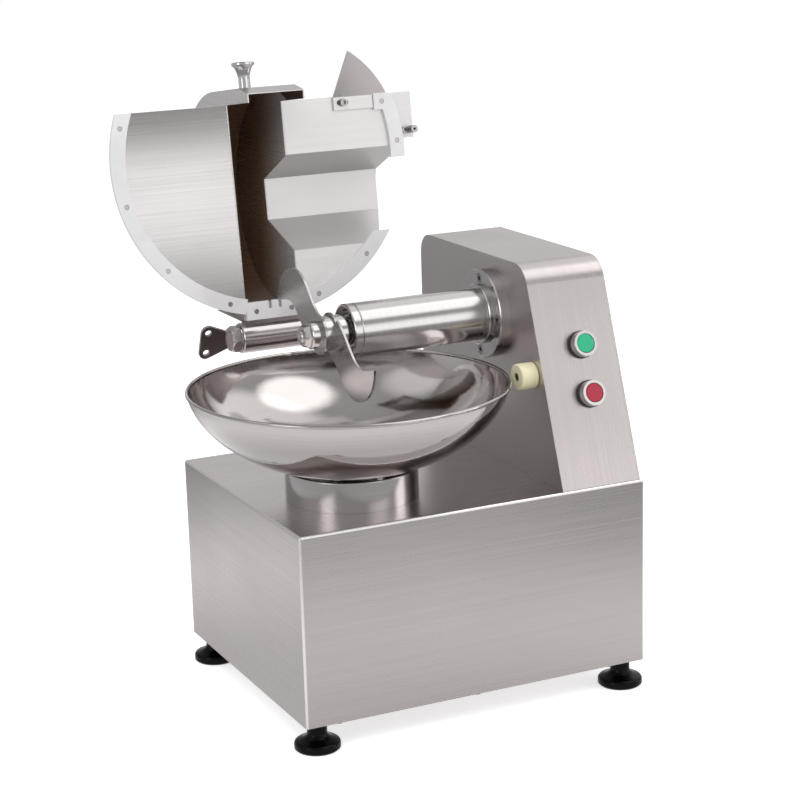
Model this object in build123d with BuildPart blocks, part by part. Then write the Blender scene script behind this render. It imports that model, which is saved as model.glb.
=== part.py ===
from build123d import *
import os
from math import asin, cos, degrees, radians, sin, sqrt, tan

# Five-litre bench bowl cutter. The origin is the centre of the base box's footprint on the
# bench, +X points to the motor head, -Y to the operator and +Z up. All sizes are in mm.

# Sheet metal and fits
SHEET = 1.5                # stainless sheet of the casings and the lid
GAP = 0.3                  # clearance between pieces that move past each other
SLIP = 0.05                # radial clearance of a shaft in its bearing or bush
SEAT = 0.1                 # clearance round a piece that is dropped into its seat

# Base box and feet
BASE_LENGTH = 400.0
BASE_DEPTH = 330.0
BASE_HEIGHT = 204.3
BASE_FOLD = 3.0            # outside radius of the folded edges
FOOT_HEIGHT = 30.5
FOOT_RADIUS = 24.2
FOOT_INSET = 19.3          # from the base's sides to the centre of a foot
FOOT_STEM = 10.5
FOOT_PAD = 6.0
FOOT_NECK = 19.0
FOOT_BOLT = 4.0
LIP = 16.0                 # inward flange along the bottom of the base box
FOOT_NUT = 7.4             # half width of the levelling nuts over their corners

BASE_TOP = FOOT_HEIGHT + BASE_HEIGHT
BASE_CEILING = BASE_TOP - SHEET
TRAY_TOP = FOOT_HEIGHT + SHEET

# Motor head
HEAD_LEFT = 101.7
HEAD_RIGHT = 195.8
HEAD_TOP = 463.5
HEAD_FRONT = -163.5
HEAD_BACK = 163.5
HEAD_LEAN = 19.35          # angle of the front face from the vertical
HEAD_BROW = 30.0           # radius where the front face turns into the top
HEAD_NAPE = 22.0           # radius of the top rear edge
HEAD_FLANGE = 14.0

# Bowl and its drive
BOWL_X = -92.4
BOWL_Y = -55.7
BOWL_RADIUS = 171.0        # half width of the bowl's ellipse at its widest level
BOWL_DEPTH = 108.6         # height of that ellipse from its widest level to the bottom
BOWL_LEVEL = 369.5         # height of the ellipse's centre
BOWL_WALL = 2.0
RIM_HEIGHT = 353.1
RIM_BEAD = 2.0
BOWL_RING = 42.0           # ring welded under the bowl, which drops onto the turntable
BOWL_RING_WALL = 6.0
TURNTABLE_RADIUS = 60.0
TURNTABLE_THICK = 8.0
TURNTABLE_TOP = 258.5
DOG_WIDTH = 10.0
DOG_HEIGHT = 3.5
BOWL_SHAFT = 12.5
PEDESTAL_RADIUS = 70.4
PEDESTAL_HEIGHT = 32.6
PEDESTAL_WALL = 3.0
PEDESTAL_FLANGE = 13.0
PEDESTAL_SCREW = 3.0

# Bowl gearbox
BEARING_NECK = 34.0        # round neck that passes up through the base and the pedestal
NECK_SEAT = 26.0
NECK_SEAT_DEPTH = 20.0
GEARBOX_FLANGE = 7.0
GEARBOX_FOOT = 105.0
GEARBOX_WIDE = 112.0
GEARBOX_DEEP = 128.0
GEARBOX_SHIFT = -14.0
WORM_Z = 150.0
WORM_OFFSET = -46.0        # from the bowl's axis to the worm's axis
WORM_SHAFT = 8.0
WORM_BORE_DEPTH = 20.0
WORM_PULLEY = 25.0
SHAFT_FOOT = 108.0
BOWL_RING_RISE = 6.5
SPIGOT_RISE = 2.0
SCREW_COVER = 16.0

WORM_Y = BOWL_Y + WORM_OFFSET
GEARBOX_RIGHT = BOWL_X + GEARBOX_WIDE / 2

# Motor and belts
MOTOR_LEFT = -128.0
MOTOR_LENGTH = 170.0
MOTOR_Y = 80.0
MOTOR_Z = 112.0
MOTOR_RADIUS = 60.0
MOTOR_FIN = 4.0
MOTOR_FINS = 24
MOTOR_FOOT = 48.0
MOTOR_FOOT_THICK = 5.0
MOTOR_SHAFT = 9.5
MOTOR_SHAFT_END = 187.0
ROTOR_RADIUS = 36.0
MOTOR_KNIFE_PULLEY = 40.0
MOTOR_BOWL_PULLEY = 25.0
KNIFE_PULLEY = 37.5
KNIFE_BELT_X = 148.0
BOWL_BELT_X = 174.0
BELT_WIDTH = 14.0
BELT_THICK = 5.0
PULLEY_WIDTH = 20.0
PULLEY_CHEEK = 2.4

# Electrical parts in the base
CONTROL_X = -160.0
CONTROL_Y = -30.0
CONTROL_SIZE = (40.0, 76.0)
CONTROL_HEIGHT = 62.0

# Knife spindle
KNIFE_Y = -4.3
KNIFE_Z = 399.0
TUBE_RADIUS = 29.0
TUBE_END = -71.8           # end face of the bearing cap
CAP_LENGTH = 9.5
CAP_RECESS = 5.0
CAP_SCREW_CIRCLE = 21.0
SEAT_RADIUS = 18.5         # outside radius of the spindle bearings
SPINDLE = 10.0
SPINDLE_BEARING = 9.0      # width of one spindle bearing
BEARING_WIDTH = 15.0
FLANGE_RADIUS = 49.0
FLANGE_THICK = 12.0
FLANGE_SCREW_CIRCLE = 39.5
FLANGE_SCREW = 3.0
COLLAR_RADIUS = 33.5       # raised ring where the tube leaves the flange
COLLAR_LENGTH = 5.0
SPIGOT_LENGTH = 14.0
SPIGOT_RADIUS = 31.0

# Knives
KNIFE_THICK = 2.5
KNIFE_SWEEP = 113.0
KNIFE_HUB = 22.0
BACK_COLLAR = 18.8
BACK_COLLAR_START = -74.5
BACK_COLLAR_LENGTH = 12.5
COLLAR_NECK = 14.0
COLLAR_NECK_LENGTH = 7.0
CAP_SCREW = 1.8
KNIFE_SHAFT_END = 160.0
SPACER_RADIUS = 18.8
SPACER_LENGTH = 11.0
FRONT_SPACER_RADIUS = 14.7
FRONT_SPACER_LENGTH = 11.0
KNIFE_NUT = 22.0           # width across flats
KNIFE_NUT_THICK = 7.5
THREAD_RADIUS = 7.0
THREAD_STUB = 2.6

# Lid hinge
PIVOT_Y = 147.2
PIVOT_Z = 369.8
PIVOT_RADIUS = 10.0
SLEEVE_RADIUS = 17.0
SLEEVE_LEFT = -133.5
SLEEVE_RIGHT = -62.0
BUSH_WALL = 3.0
BUSH_LENGTH = 18.0
PIVOT_NUT = 27.0
PIVOT_NUT_THICK = 10.0
WASHER_RADIUS = 15.0
WASHER_THICK = 1.6
PIVOT_END = 116.0
PIVOT_FLANGE = 20.0
PIVOT_FLANGE_THICK = 8.0
PIVOT_COLLAR_LENGTH = 10.0
STOP_PIN = 2.0
STOP_PIN_RADIUS = 13.5
STOP_ANGLE = 60.0          # where the fixed stop pin stands round the pivot
STOP_NOTCH = 5.0
WING_THICK = 3.0
WING_HOLE_X = -26.5
WING_HOLE_OUT = 13.0
WING_HOLE = 3.7
WING_LOBE = 8.2
WING_ROOT = 8.0
WING_LEAN = radians(22.6)  # how far the plate is turned from the vertical
LID_OPEN = 97.64           # angle between the shut lid and the lid on its stop

# Lid
LID_RADIUS = 173.0
LID_SHIFT = 6.0            # from the bowl's centre to the lid's, towards the hinge
GASKET_RADIUS = 174.3
GASKET_WIDTH = 17.2
GASKET_THICK = 4.0
LID_FRONT = 54.0           # from the bowl's centre to the lid's straight front edge
HUMP_LEFT = -35.0
HUMP_RIGHT = 31.0
HUMP_RADIUS = 122.0        # outside of the knife cover, round the knife axis
CHIN_DEPTH = 62.5          # how far the splash chin hangs below the rim
CHIN_BEND = 38.0
CHIN_TIP = 64.0
CHANNEL_DEPTH = 75.5       # inside height of the channel over the spindle tube
CHANNEL_FOOT_FRONT = 5.4
CHANNEL_ROOF_FRONT = 31.4
CHANNEL_ROOF_REAR = 78.0
CHANNEL_FOOT_REAR = 112.0
CHANNEL_END = 169.5        # right end of the channel's roof, from the bowl's axis
KNOB_HEIGHT = 28.0
KNOB_RADIUS = 12.8
KNOB_STEM = 6.5
KNOB_X = -23.0
KNOB_DROP = 27.0

KNOB_STUD = 3.0
GASKET_SCREW = 1.6
GASKET_HEEL = 101.8        # angles where the gasket's pieces end, from the hinge's X direction
GASKET_REAR_START = 99.5   # where the gasket begins and ends beside the channel
GASKET_REAR_END = 80.0
GASKET_FRONT_END = 18.5
GASKET_CORNER = 141.0
HEEL_BLOCK_START = 163.5   # white block behind the knife cover
HEEL_BLOCK_LENGTH = 20.0
HEEL_SCREW_V = 174.4
HEEL_NOTCH_X = 0.0
HEEL_NOTCH_PITCH = 12.0
HEEL_NOTCH_WIDTH = 4.0
HEEL_NOTCH_DEPTH = 9.0
HINGE_FRONT = 150.0
HINGE_SPREAD = 122.0
HINGE_THICK = 3.0
HINGE_SHOULDER = 28.0      # sloping shoulders between the hinge plate and its neck
HINGE_SHOULDER_TOP = 168.0
HINGE_SHOULDER_END = 184.0
FIN_THICK = 3.0
FIN_SHEET = 2.0
FIN_LEAN = 36.0
FIN_LEFT = 92.0
FIN_RIGHT = 157.0
FIN_TIP = 99.0
FIN_BELLY = 131.0
FIN_LENGTH = 61.5
FIN_ROOT = 1.0             # how far the blade reaches into its foot
FIN_CLEAR = 2.4            # the blade starts this far down where it passes the gasket
FIN_FOOT = 48.0
FIN_FLANGE = 15.5
FIN_SCREW = 2.5
FIN_SCREW_PLACE = (103.0, -47.0)
FIN_SLOT = 14.0
INTERLOCK_LEFT = 150.0
INTERLOCK_RIGHT = 190.5
INTERLOCK_LENGTH = 52.0
INTERLOCK_INNER = 45.0     # length of the part that stands on the panel
INTERLOCK_RISE = 8.0
INTERLOCK_THICK = 2.0
INTERLOCK_SCREW = 2.1
INTERLOCK_SCREW_PLACE = (179.3, -11.0)
INTERLOCK_PLUG = 4.2       # radius of the plug that the safety switch feels
INTERLOCK_PLUG_X = 187.3
INTERLOCK_PLUG_LENGTH = 12.0

# Buttons, cable gland, rest bush and screws
BUTTON_X = 153.0
START_BUTTON = 151.3       # distance up the sloping front face
STOP_BUTTON = 98.2
BUTTON_HOLE = 11.15
BUTTON_BASE = 14.8
BUTTON_RING = 14.2
BUTTON_CAP = 10.2
BUTTON_TRAVEL = 3.0
BUTTON_GASKET = 3.5
BUTTON_RING_HEIGHT = 8.5
BUTTON_BARREL = 20.0
BUTTON_STEM = 5.0
CONTACT_SIZE = (28.0, 38.0)
CONTACT_DEPTH = 32.0
GLAND_X = 120.0            # cable gland in the rear wall of the base
GLAND_Z = 62.0
GLAND_HOLE = 10.0
TRAY_SCREW = 2.0
REST_BUSH_Y = -101.3       # bush on the head that the lid's front corner rests on
REST_BUSH_Z = 348.6
REST_BUSH_RADIUS = 14.2
REST_BUSH_LENGTH = 20.0
REST_SCREW = 2.5
COVER_SCREW = 2.0
SCREW_STAND = 1.2          # how far the lid screws stand out of the stack they grip


def save(builder, name):
    builder.part.label = name
    export_step(builder.part, f"parts/{name}.step")


def axis_plane(x, y, z):
    """Plane across an axis that runs along X, with Y to its right and Z up."""
    return Plane(origin=(x, y, z), x_dir=(0, 1, 0), z_dir=(1, 0, 0))


def knife_plane(x):
    return axis_plane(x, KNIFE_Y, KNIFE_Z)


def pivot_plane(x):
    return axis_plane(x, PIVOT_Y, PIVOT_Z)


def bowl_plane(z):
    return Plane(origin=(BOWL_X, BOWL_Y, z))


def tube(plane, outer, inner, length):
    """Plain ring or sleeve that starts on a plane and runs along its normal."""
    with BuildPart() as ring:
        with BuildSketch(plane):
            Circle(outer)
            if inner > 0:
                Circle(inner, mode=Mode.SUBTRACT)
        extrude(amount=length)
    return ring


def socket_screw(plane, places, radius, length):
    """Group of socket head screws whose heads stand on a plane, shanks pointing into it."""
    with BuildPart() as screws:
        with BuildSketch(plane):
            with Locations(*places):
                Circle(radius * 1.7)
        extrude(amount=radius * 1.8)
        with BuildSketch(plane.offset(radius * 1.8)):
            with Locations(*places):
                RegularPolygon(radius, 6)
        extrude(amount=-radius, mode=Mode.SUBTRACT)
        with BuildSketch(plane):
            with Locations(*places):
                Circle(radius)
        extrude(amount=-length)
    return screws


def ring_places(radius, count, start):
    """Points spread evenly round a circle, as sketch coordinates."""
    turn = 360 / count
    angles = [radians(start + turn * step) for step in range(count)]
    return [(radius * cos(angle), radius * sin(angle)) for angle in angles]


os.makedirs("parts", exist_ok=True)

# ---------------------------------------------------------------- base box

FOOT_PLACES = [
    (side * (BASE_LENGTH / 2 - FOOT_INSET), end * (BASE_DEPTH / 2 - FOOT_INSET))
    for side in (-1, 1) for end in (-1, 1)
]
PEDESTAL_SCREWS = ring_places(PEDESTAL_RADIUS - PEDESTAL_WALL - PEDESTAL_FLANGE / 2, 6, 30)
BELT_SLOT = (HEAD_RIGHT - HEAD_LEFT - 2 * HEAD_FLANGE - 10, 250.0)
HEAD_MIDDLE = (HEAD_LEFT + HEAD_RIGHT) / 2

tray_screw_places = [
    (column * (BASE_LENGTH / 2 - 40), row * (BASE_DEPTH / 2 - SHEET - LIP / 2))
    for column in (-1, 0, 1) for row in (-1, 1)
]

with BuildPart() as base_housing:
    with BuildSketch(Plane.XY.offset(FOOT_HEIGHT)):
        Rectangle(BASE_LENGTH, BASE_DEPTH)
    extrude(amount=BASE_HEIGHT)
    fillet(base_housing.edges().filter_by(Axis.Z), BASE_FOLD)
    fillet(base_housing.faces().sort_by(Axis.Z)[-1].edges(), BASE_FOLD)
    floor = base_housing.faces().sort_by(Axis.Z)[0]
    offset(amount=-SHEET, openings=floor)
    with BuildSketch(Plane.XY.offset(TRAY_TOP + SEAT)):
        Rectangle(BASE_LENGTH - SHEET, BASE_DEPTH - SHEET)
        Rectangle(BASE_LENGTH - 2 * LIP, BASE_DEPTH - 2 * LIP, mode=Mode.SUBTRACT)
        with Locations(*tray_screw_places):
            Circle(TRAY_SCREW + SEAT, mode=Mode.SUBTRACT)
        with Locations(*FOOT_PLACES):
            Circle(FOOT_NUT + 1, mode=Mode.SUBTRACT)
    extrude(amount=SHEET)
    with BuildSketch(Plane.XY.offset(BASE_TOP)):
        with Locations((BOWL_X, BOWL_Y)):
            Circle(BEARING_NECK + GAP)
            with Locations(*PEDESTAL_SCREWS):
                Circle(PEDESTAL_SCREW + SEAT)
        with Locations((HEAD_MIDDLE, 0)):
            RectangleRounded(*BELT_SLOT, 6)
    extrude(amount=-2 * SHEET, mode=Mode.SUBTRACT)
    with BuildSketch(Plane.XZ.offset(-BASE_DEPTH / 2 - SHEET)):
        with Locations((GLAND_X, GLAND_Z)):
            Circle(GLAND_HOLE)
    extrude(amount=3 * SHEET, mode=Mode.SUBTRACT)
save(base_housing, "base_housing")

with BuildPart() as bottom_plate:
    with BuildSketch(Plane.XY.offset(FOOT_HEIGHT)):
        RectangleRounded(BASE_LENGTH - 2 * SHEET - 2 * GAP, BASE_DEPTH - 2 * SHEET - 2 * GAP, 2)
        with Locations(*FOOT_PLACES):
            Circle(FOOT_BOLT + SEAT, mode=Mode.SUBTRACT)
        with Locations(*tray_screw_places):
            Circle(TRAY_SCREW + SEAT, mode=Mode.SUBTRACT)
        with Locations((0, 0)):
            with GridLocations(22, 60, 9, 3):
                SlotOverall(30, 6, rotation=90, mode=Mode.SUBTRACT)
    extrude(amount=SHEET)
save(bottom_plate, "bottom_plate")

# A foot is a broad moulded pad with a domed top that draws in to a stem.
with BuildPart() as feet:
    for foot_x, foot_y in FOOT_PLACES:
        with BuildSketch(Plane(origin=(foot_x, foot_y, 0), x_dir=(1, 0, 0), z_dir=(0, -1, 0))):
            with BuildLine():
                Polyline((FOOT_STEM, FOOT_HEIGHT), (FOOT_BOLT, FOOT_HEIGHT), (FOOT_BOLT, 0),
                         (FOOT_RADIUS - 2, 0), (FOOT_RADIUS, 2), (FOOT_RADIUS, FOOT_PAD))
                Spline((FOOT_RADIUS, FOOT_PAD), (FOOT_RADIUS - 5, FOOT_PAD + 4.5),
                       (FOOT_STEM + 1.5, FOOT_PAD + 8.5), (FOOT_STEM, FOOT_NECK),
                       tangents=[(0, 1), (0, 1)])
                Line((FOOT_STEM, FOOT_NECK), (FOOT_STEM, FOOT_HEIGHT))
            make_face()
        revolve(axis=Axis((foot_x, foot_y, 0), (0, 0, 1)))
save(feet, "feet")

with BuildPart() as base_fasteners:
    with BuildSketch(Plane.XY.offset(4)):
        with Locations(*FOOT_PLACES):
            Circle(FOOT_BOLT)
    extrude(amount=TRAY_TOP + 8 - 4)
    with BuildSketch(Plane.XY.offset(TRAY_TOP)):
        with Locations(*FOOT_PLACES):
            RegularPolygon(FOOT_NUT, 6)
    extrude(amount=6)
    tray_underside = Plane.XY.offset(FOOT_HEIGHT).rotated((180, 0, 0))
    add(socket_screw(tray_underside, tray_screw_places, TRAY_SCREW, SHEET * 3).part)
save(base_fasteners, "base_fasteners")

with BuildPart() as cable_gland:
    with BuildSketch(Plane.XZ.offset(-BASE_DEPTH / 2)):
        with Locations((GLAND_X, GLAND_Z)):
            RegularPolygon(GLAND_HOLE * 1.35, 6)
    extrude(amount=-6)
    with BuildSketch(Plane.XZ.offset(-BASE_DEPTH / 2 - 6)):
        with Locations((GLAND_X, GLAND_Z)):
            Circle(GLAND_HOLE * 1.15)
    extrude(amount=-12, taper=8)
    with BuildSketch(Plane.XZ.offset(-BASE_DEPTH / 2)):
        with Locations((GLAND_X, GLAND_Z)):
            Circle(GLAND_HOLE - SEAT)
    extrude(amount=12)
    with BuildSketch(Plane.XZ.offset(-BASE_DEPTH / 2 + SHEET)):
        with Locations((GLAND_X, GLAND_Z)):
            RegularPolygon(GLAND_HOLE * 1.35, 6)
            Circle(GLAND_HOLE - SEAT, mode=Mode.SUBTRACT)
    extrude(amount=5)
    with BuildSketch(Plane.XZ.offset(-BASE_DEPTH / 2 - 30)):
        with Locations((GLAND_X, GLAND_Z)):
            Circle(GLAND_HOLE / 2)
    extrude(amount=60, mode=Mode.SUBTRACT)
save(cable_gland, "cable_gland")

# ---------------------------------------------------------------- motor head

lean = radians(HEAD_LEAN)
brow_y = HEAD_FRONT + (HEAD_TOP - BASE_TOP) * tan(lean)
HEAD_INSIDE = HEAD_RIGHT - SHEET


def head_outline():
    """Side view of the head: a leaning front, a rounded brow, a flat top and an upright back."""
    with BuildLine() as outline:
        Polyline((HEAD_FRONT, BASE_TOP), (brow_y, HEAD_TOP), (HEAD_BACK, HEAD_TOP),
                 (HEAD_BACK, BASE_TOP), (HEAD_FRONT, BASE_TOP))
    with BuildSketch() as shape:
        make_face(outline.edges())
        fillet(shape.vertices().filter_by_position(Axis.Y, HEAD_TOP - 1, HEAD_TOP + 1)
               .sort_by(Axis.X)[0], HEAD_BROW)
        fillet(shape.vertices().filter_by_position(Axis.Y, HEAD_TOP - 1, HEAD_TOP + 1)
               .sort_by(Axis.X)[-1], HEAD_NAPE)
    return shape.sketch


def slope_plane(distance, height=0.0):
    """Plane on the head's front face, a distance up the slope, with its normal outwards."""
    along = (sin(lean), cos(lean))
    y = HEAD_FRONT + distance * along[0] - height * along[1]
    z = BASE_TOP + distance * along[1] + height * along[0]
    return Plane(origin=(BUTTON_X, y, z), x_dir=(1, 0, 0), z_dir=(0, -along[1], along[0]))


cover_screw_places = [(-120, 262), (-76, 392), (30, 451), (150, 420), (150, 262), (30, 247)]
flange_screw_places = ring_places(FLANGE_SCREW_CIRCLE, 4, 0)

with BuildPart() as head_housing:
    with BuildSketch(Plane.YZ.offset(HEAD_LEFT)):
        add(head_outline())
    extrude(amount=HEAD_INSIDE - HEAD_LEFT)
    below = head_housing.faces().sort_by(Axis.Z)[0]
    right = head_housing.faces().sort_by(Axis.X)[-1]
    offset(amount=-SHEET, openings=[below, right])
    with BuildSketch(Plane.XY.offset(BASE_TOP)):
        with Locations(((HEAD_LEFT + HEAD_INSIDE) / 2, 0)):
            Rectangle(HEAD_INSIDE - HEAD_LEFT, HEAD_BACK - HEAD_FRONT - 2 * SHEET)
        with Locations((HEAD_MIDDLE, 0)):
            Rectangle(BELT_SLOT[0] + 8, BELT_SLOT[1] + 8, mode=Mode.SUBTRACT)
    extrude(amount=SHEET)
    with BuildSketch(knife_plane(HEAD_LEFT - SHEET)):
        Circle(SPIGOT_RADIUS + SEAT)
        with Locations(*flange_screw_places):
            Circle(FLANGE_SCREW + SEAT)
    extrude(amount=3 * SHEET, mode=Mode.SUBTRACT)
    with BuildSketch(pivot_plane(HEAD_LEFT - SHEET)):
        Circle(PIVOT_RADIUS + SEAT)
    extrude(amount=3 * SHEET, mode=Mode.SUBTRACT)
    with BuildSketch(axis_plane(HEAD_LEFT - SHEET, REST_BUSH_Y, REST_BUSH_Z)):
        Circle(REST_SCREW + SEAT)
    extrude(amount=3 * SHEET, mode=Mode.SUBTRACT)
    with BuildSketch(Plane.YZ.offset(HEAD_INSIDE - SHEET)):
        add(head_outline())
        offset(head_outline(), amount=-HEAD_FLANGE, mode=Mode.SUBTRACT)
        with Locations(*cover_screw_places):
            Circle(COVER_SCREW + SEAT, mode=Mode.SUBTRACT)
    extrude(amount=SHEET)
    for button_place in (START_BUTTON, STOP_BUTTON):
        with BuildSketch(slope_plane(button_place, SHEET)):
            Circle(BUTTON_HOLE)
        extrude(amount=-4 * SHEET, mode=Mode.SUBTRACT)
save(head_housing, "head_housing")

with BuildPart() as head_side_cover:
    with BuildSketch(Plane.YZ.offset(HEAD_INSIDE)):
        add(head_outline())
        with Locations(*cover_screw_places):
            Circle(COVER_SCREW + SEAT, mode=Mode.SUBTRACT)
    extrude(amount=SHEET)
save(head_side_cover, "head_side_cover")

rest_plane = axis_plane(HEAD_LEFT - REST_BUSH_LENGTH, REST_BUSH_Y, REST_BUSH_Z)
with BuildPart() as rest_bush:
    with BuildSketch(rest_plane):
        Circle(REST_BUSH_RADIUS)
    extrude(amount=REST_BUSH_LENGTH)
    fillet(rest_bush.edges().filter_by(GeomType.CIRCLE), 1.8)
    with BuildSketch(rest_plane):
        Circle(REST_SCREW * 1.9)
    extrude(amount=5, mode=Mode.SUBTRACT)
    with BuildSketch(rest_plane):
        Circle(REST_SCREW + SEAT)
    extrude(amount=REST_BUSH_LENGTH, mode=Mode.SUBTRACT)
save(rest_bush, "rest_bush")

rest_screw_plane = axis_plane(HEAD_LEFT - REST_BUSH_LENGTH + 5, REST_BUSH_Y, REST_BUSH_Z)
with BuildPart() as head_screws:
    add(socket_screw(Plane.YZ.offset(HEAD_RIGHT), cover_screw_places, COVER_SCREW, 6).part)
    add(socket_screw(rest_screw_plane.rotated((0, 180, 0)), [(0, 0)], REST_SCREW,
                     REST_BUSH_LENGTH).part)
save(head_screws, "head_screws")

# ---------------------------------------------------------------- bowl and its drive

ellipse_plane = Plane(origin=(BOWL_X, BOWL_Y, BOWL_LEVEL), x_dir=(1, 0, 0), z_dir=(0, -1, 0))
bowl_axis = Axis((BOWL_X, BOWL_Y, 0), (0, 0, 1))
rim_radius = BOWL_RADIUS * sqrt(1 - ((BOWL_LEVEL - RIM_HEIGHT) / BOWL_DEPTH) ** 2) - BOWL_WALL / 2

with BuildPart() as bowl:
    with BuildSketch(ellipse_plane):
        Ellipse(BOWL_RADIUS, BOWL_DEPTH)
        Ellipse(BOWL_RADIUS - BOWL_WALL, BOWL_DEPTH - BOWL_WALL, mode=Mode.SUBTRACT)
        with Locations((0, -(BOWL_LEVEL - RIM_HEIGHT))):
            Rectangle(BOWL_RADIUS, BOWL_DEPTH, align=(Align.MIN, Align.MAX), mode=Mode.INTERSECT)
        with Locations((rim_radius, -(BOWL_LEVEL - RIM_HEIGHT))):
            Circle(RIM_BEAD)
    revolve(axis=bowl_axis)
    with BuildSketch(bowl_plane(TURNTABLE_TOP)):
        Circle(BOWL_RING)
        Circle(BOWL_RING - BOWL_RING_WALL, mode=Mode.SUBTRACT)
    extrude(amount=BOWL_RING_RISE)
    with BuildSketch(bowl_plane(TURNTABLE_TOP)):
        Rectangle(2 * BOWL_RING + 2, DOG_WIDTH + 2 * SEAT)
    extrude(amount=DOG_HEIGHT + SEAT, mode=Mode.SUBTRACT)
save(bowl, "bowl")

with BuildPart() as turntable:
    with BuildSketch(bowl_plane(TURNTABLE_TOP - TURNTABLE_THICK)):
        Circle(TURNTABLE_RADIUS)
        Circle(BOWL_SHAFT, mode=Mode.SUBTRACT)
    extrude(amount=TURNTABLE_THICK)
    with BuildSketch(bowl_plane(TURNTABLE_TOP)):
        Circle(BOWL_RING - BOWL_RING_WALL - SEAT)
        Circle(SCREW_COVER + SEAT, mode=Mode.SUBTRACT)
    extrude(amount=SPIGOT_RISE)
    with BuildSketch(bowl_plane(TURNTABLE_TOP)):
        with PolarLocations(BOWL_RING - BOWL_RING_WALL / 2, 2):
            Rectangle(BOWL_RING_WALL + 4, DOG_WIDTH)
    extrude(amount=DOG_HEIGHT)
    chamfer(turntable.faces().sort_by(Axis.Z)[0].edges().sort_by(Axis.X)[-1], 2)
save(turntable, "turntable")

with BuildPart() as bowl_shaft:
    with BuildSketch(bowl_plane(SHAFT_FOOT)):
        Circle(BOWL_SHAFT)
    extrude(amount=TURNTABLE_TOP - SHAFT_FOOT)
    with BuildSketch(bowl_plane(TURNTABLE_TOP)):
        Circle(4)
    extrude(amount=-18, mode=Mode.SUBTRACT)
    chamfer(bowl_shaft.edges().sort_by(Axis.Z)[0], 1)
save(bowl_shaft, "bowl_shaft")

with BuildPart() as turntable_screw:
    with BuildSketch(bowl_plane(TURNTABLE_TOP)):
        Circle(SCREW_COVER)
    extrude(amount=SPIGOT_RISE)
    with BuildSketch(bowl_plane(TURNTABLE_TOP + SPIGOT_RISE)):
        RegularPolygon(3, 6)
    extrude(amount=-SPIGOT_RISE + 0.6, mode=Mode.SUBTRACT)
    with BuildSketch(bowl_plane(TURNTABLE_TOP)):
        Circle(4)
    extrude(amount=-16)
save(turntable_screw, "turntable_screw")

with BuildPart() as pedestal:
    with BuildSketch(bowl_plane(BASE_TOP)):
        Circle(PEDESTAL_RADIUS)
    extrude(amount=PEDESTAL_HEIGHT)
    top_rim = pedestal.faces().sort_by(Axis.Z)[-1].edges()
    fillet(top_rim, 1.2)
    with BuildSketch(bowl_plane(BASE_TOP + PEDESTAL_WALL)):
        Circle(PEDESTAL_RADIUS - PEDESTAL_WALL)
    extrude(amount=PEDESTAL_HEIGHT, mode=Mode.SUBTRACT)
    with BuildSketch(bowl_plane(BASE_TOP)):
        Circle(BEARING_NECK + GAP)
        with Locations(*PEDESTAL_SCREWS):
            Circle(PEDESTAL_SCREW + SEAT)
    extrude(amount=PEDESTAL_WALL, mode=Mode.SUBTRACT)
save(pedestal, "pedestal")

save(socket_screw(bowl_plane(BASE_TOP + PEDESTAL_WALL), PEDESTAL_SCREWS, PEDESTAL_SCREW,
                  PEDESTAL_WALL + SHEET + GEARBOX_FLANGE - 1), "pedestal_screws")

GEARBOX_TOP = BASE_CEILING - 34
with BuildPart() as gearbox_casing:
    with BuildSketch(bowl_plane(GEARBOX_FOOT)):
        with Locations((0, GEARBOX_SHIFT)):
            RectangleRounded(GEARBOX_WIDE, GEARBOX_DEEP, 12)
    extrude(amount=GEARBOX_TOP - GEARBOX_FOOT)
    fillet(gearbox_casing.faces().sort_by(Axis.Z)[0].edges(), 4)
    fillet(gearbox_casing.faces().sort_by(Axis.Z)[-1].edges(), 4)
    with BuildSketch(bowl_plane(GEARBOX_TOP)):
        Circle(BEARING_NECK + 6)
    extrude(amount=BASE_CEILING - GEARBOX_TOP)
    with BuildSketch(bowl_plane(BASE_CEILING - GEARBOX_FLANGE)):
        Circle(PEDESTAL_RADIUS - PEDESTAL_WALL)
    extrude(amount=GEARBOX_FLANGE)
    with BuildSketch(bowl_plane(BASE_CEILING)):
        Circle(BEARING_NECK)
    extrude(amount=SHEET + PEDESTAL_WALL)
    for rib_turn in (45, 135):
        with BuildSketch(bowl_plane(GEARBOX_TOP).rotated((0, 0, rib_turn))):
            Rectangle(2 * (PEDESTAL_RADIUS - 8), 5)
        extrude(amount=BASE_CEILING - GEARBOX_TOP)
    with BuildSketch(bowl_plane(GEARBOX_FOOT)):
        Circle(BOWL_SHAFT + SLIP)
    extrude(amount=BASE_TOP, mode=Mode.SUBTRACT)
    with BuildSketch(bowl_plane(BASE_TOP + PEDESTAL_WALL)):
        Circle(NECK_SEAT)
    extrude(amount=-NECK_SEAT_DEPTH, mode=Mode.SUBTRACT)
    with BuildSketch(bowl_plane(BASE_CEILING - GEARBOX_FLANGE)):
        with Locations(*PEDESTAL_SCREWS):
            Circle(PEDESTAL_SCREW + SEAT)
    extrude(amount=GEARBOX_FLANGE, mode=Mode.SUBTRACT)
    with BuildSketch(axis_plane(GEARBOX_RIGHT - WORM_BORE_DEPTH, WORM_Y, WORM_Z)):
        Circle(WORM_SHAFT + SLIP)
    extrude(amount=WORM_BORE_DEPTH + 12, mode=Mode.SUBTRACT)
    with BuildSketch(axis_plane(GEARBOX_RIGHT, WORM_Y, WORM_Z)):
        Circle(WORM_SHAFT + 14)
        Circle(WORM_SHAFT + SLIP, mode=Mode.SUBTRACT)
    extrude(amount=8)
save(gearbox_casing, "gearbox_casing")

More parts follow.
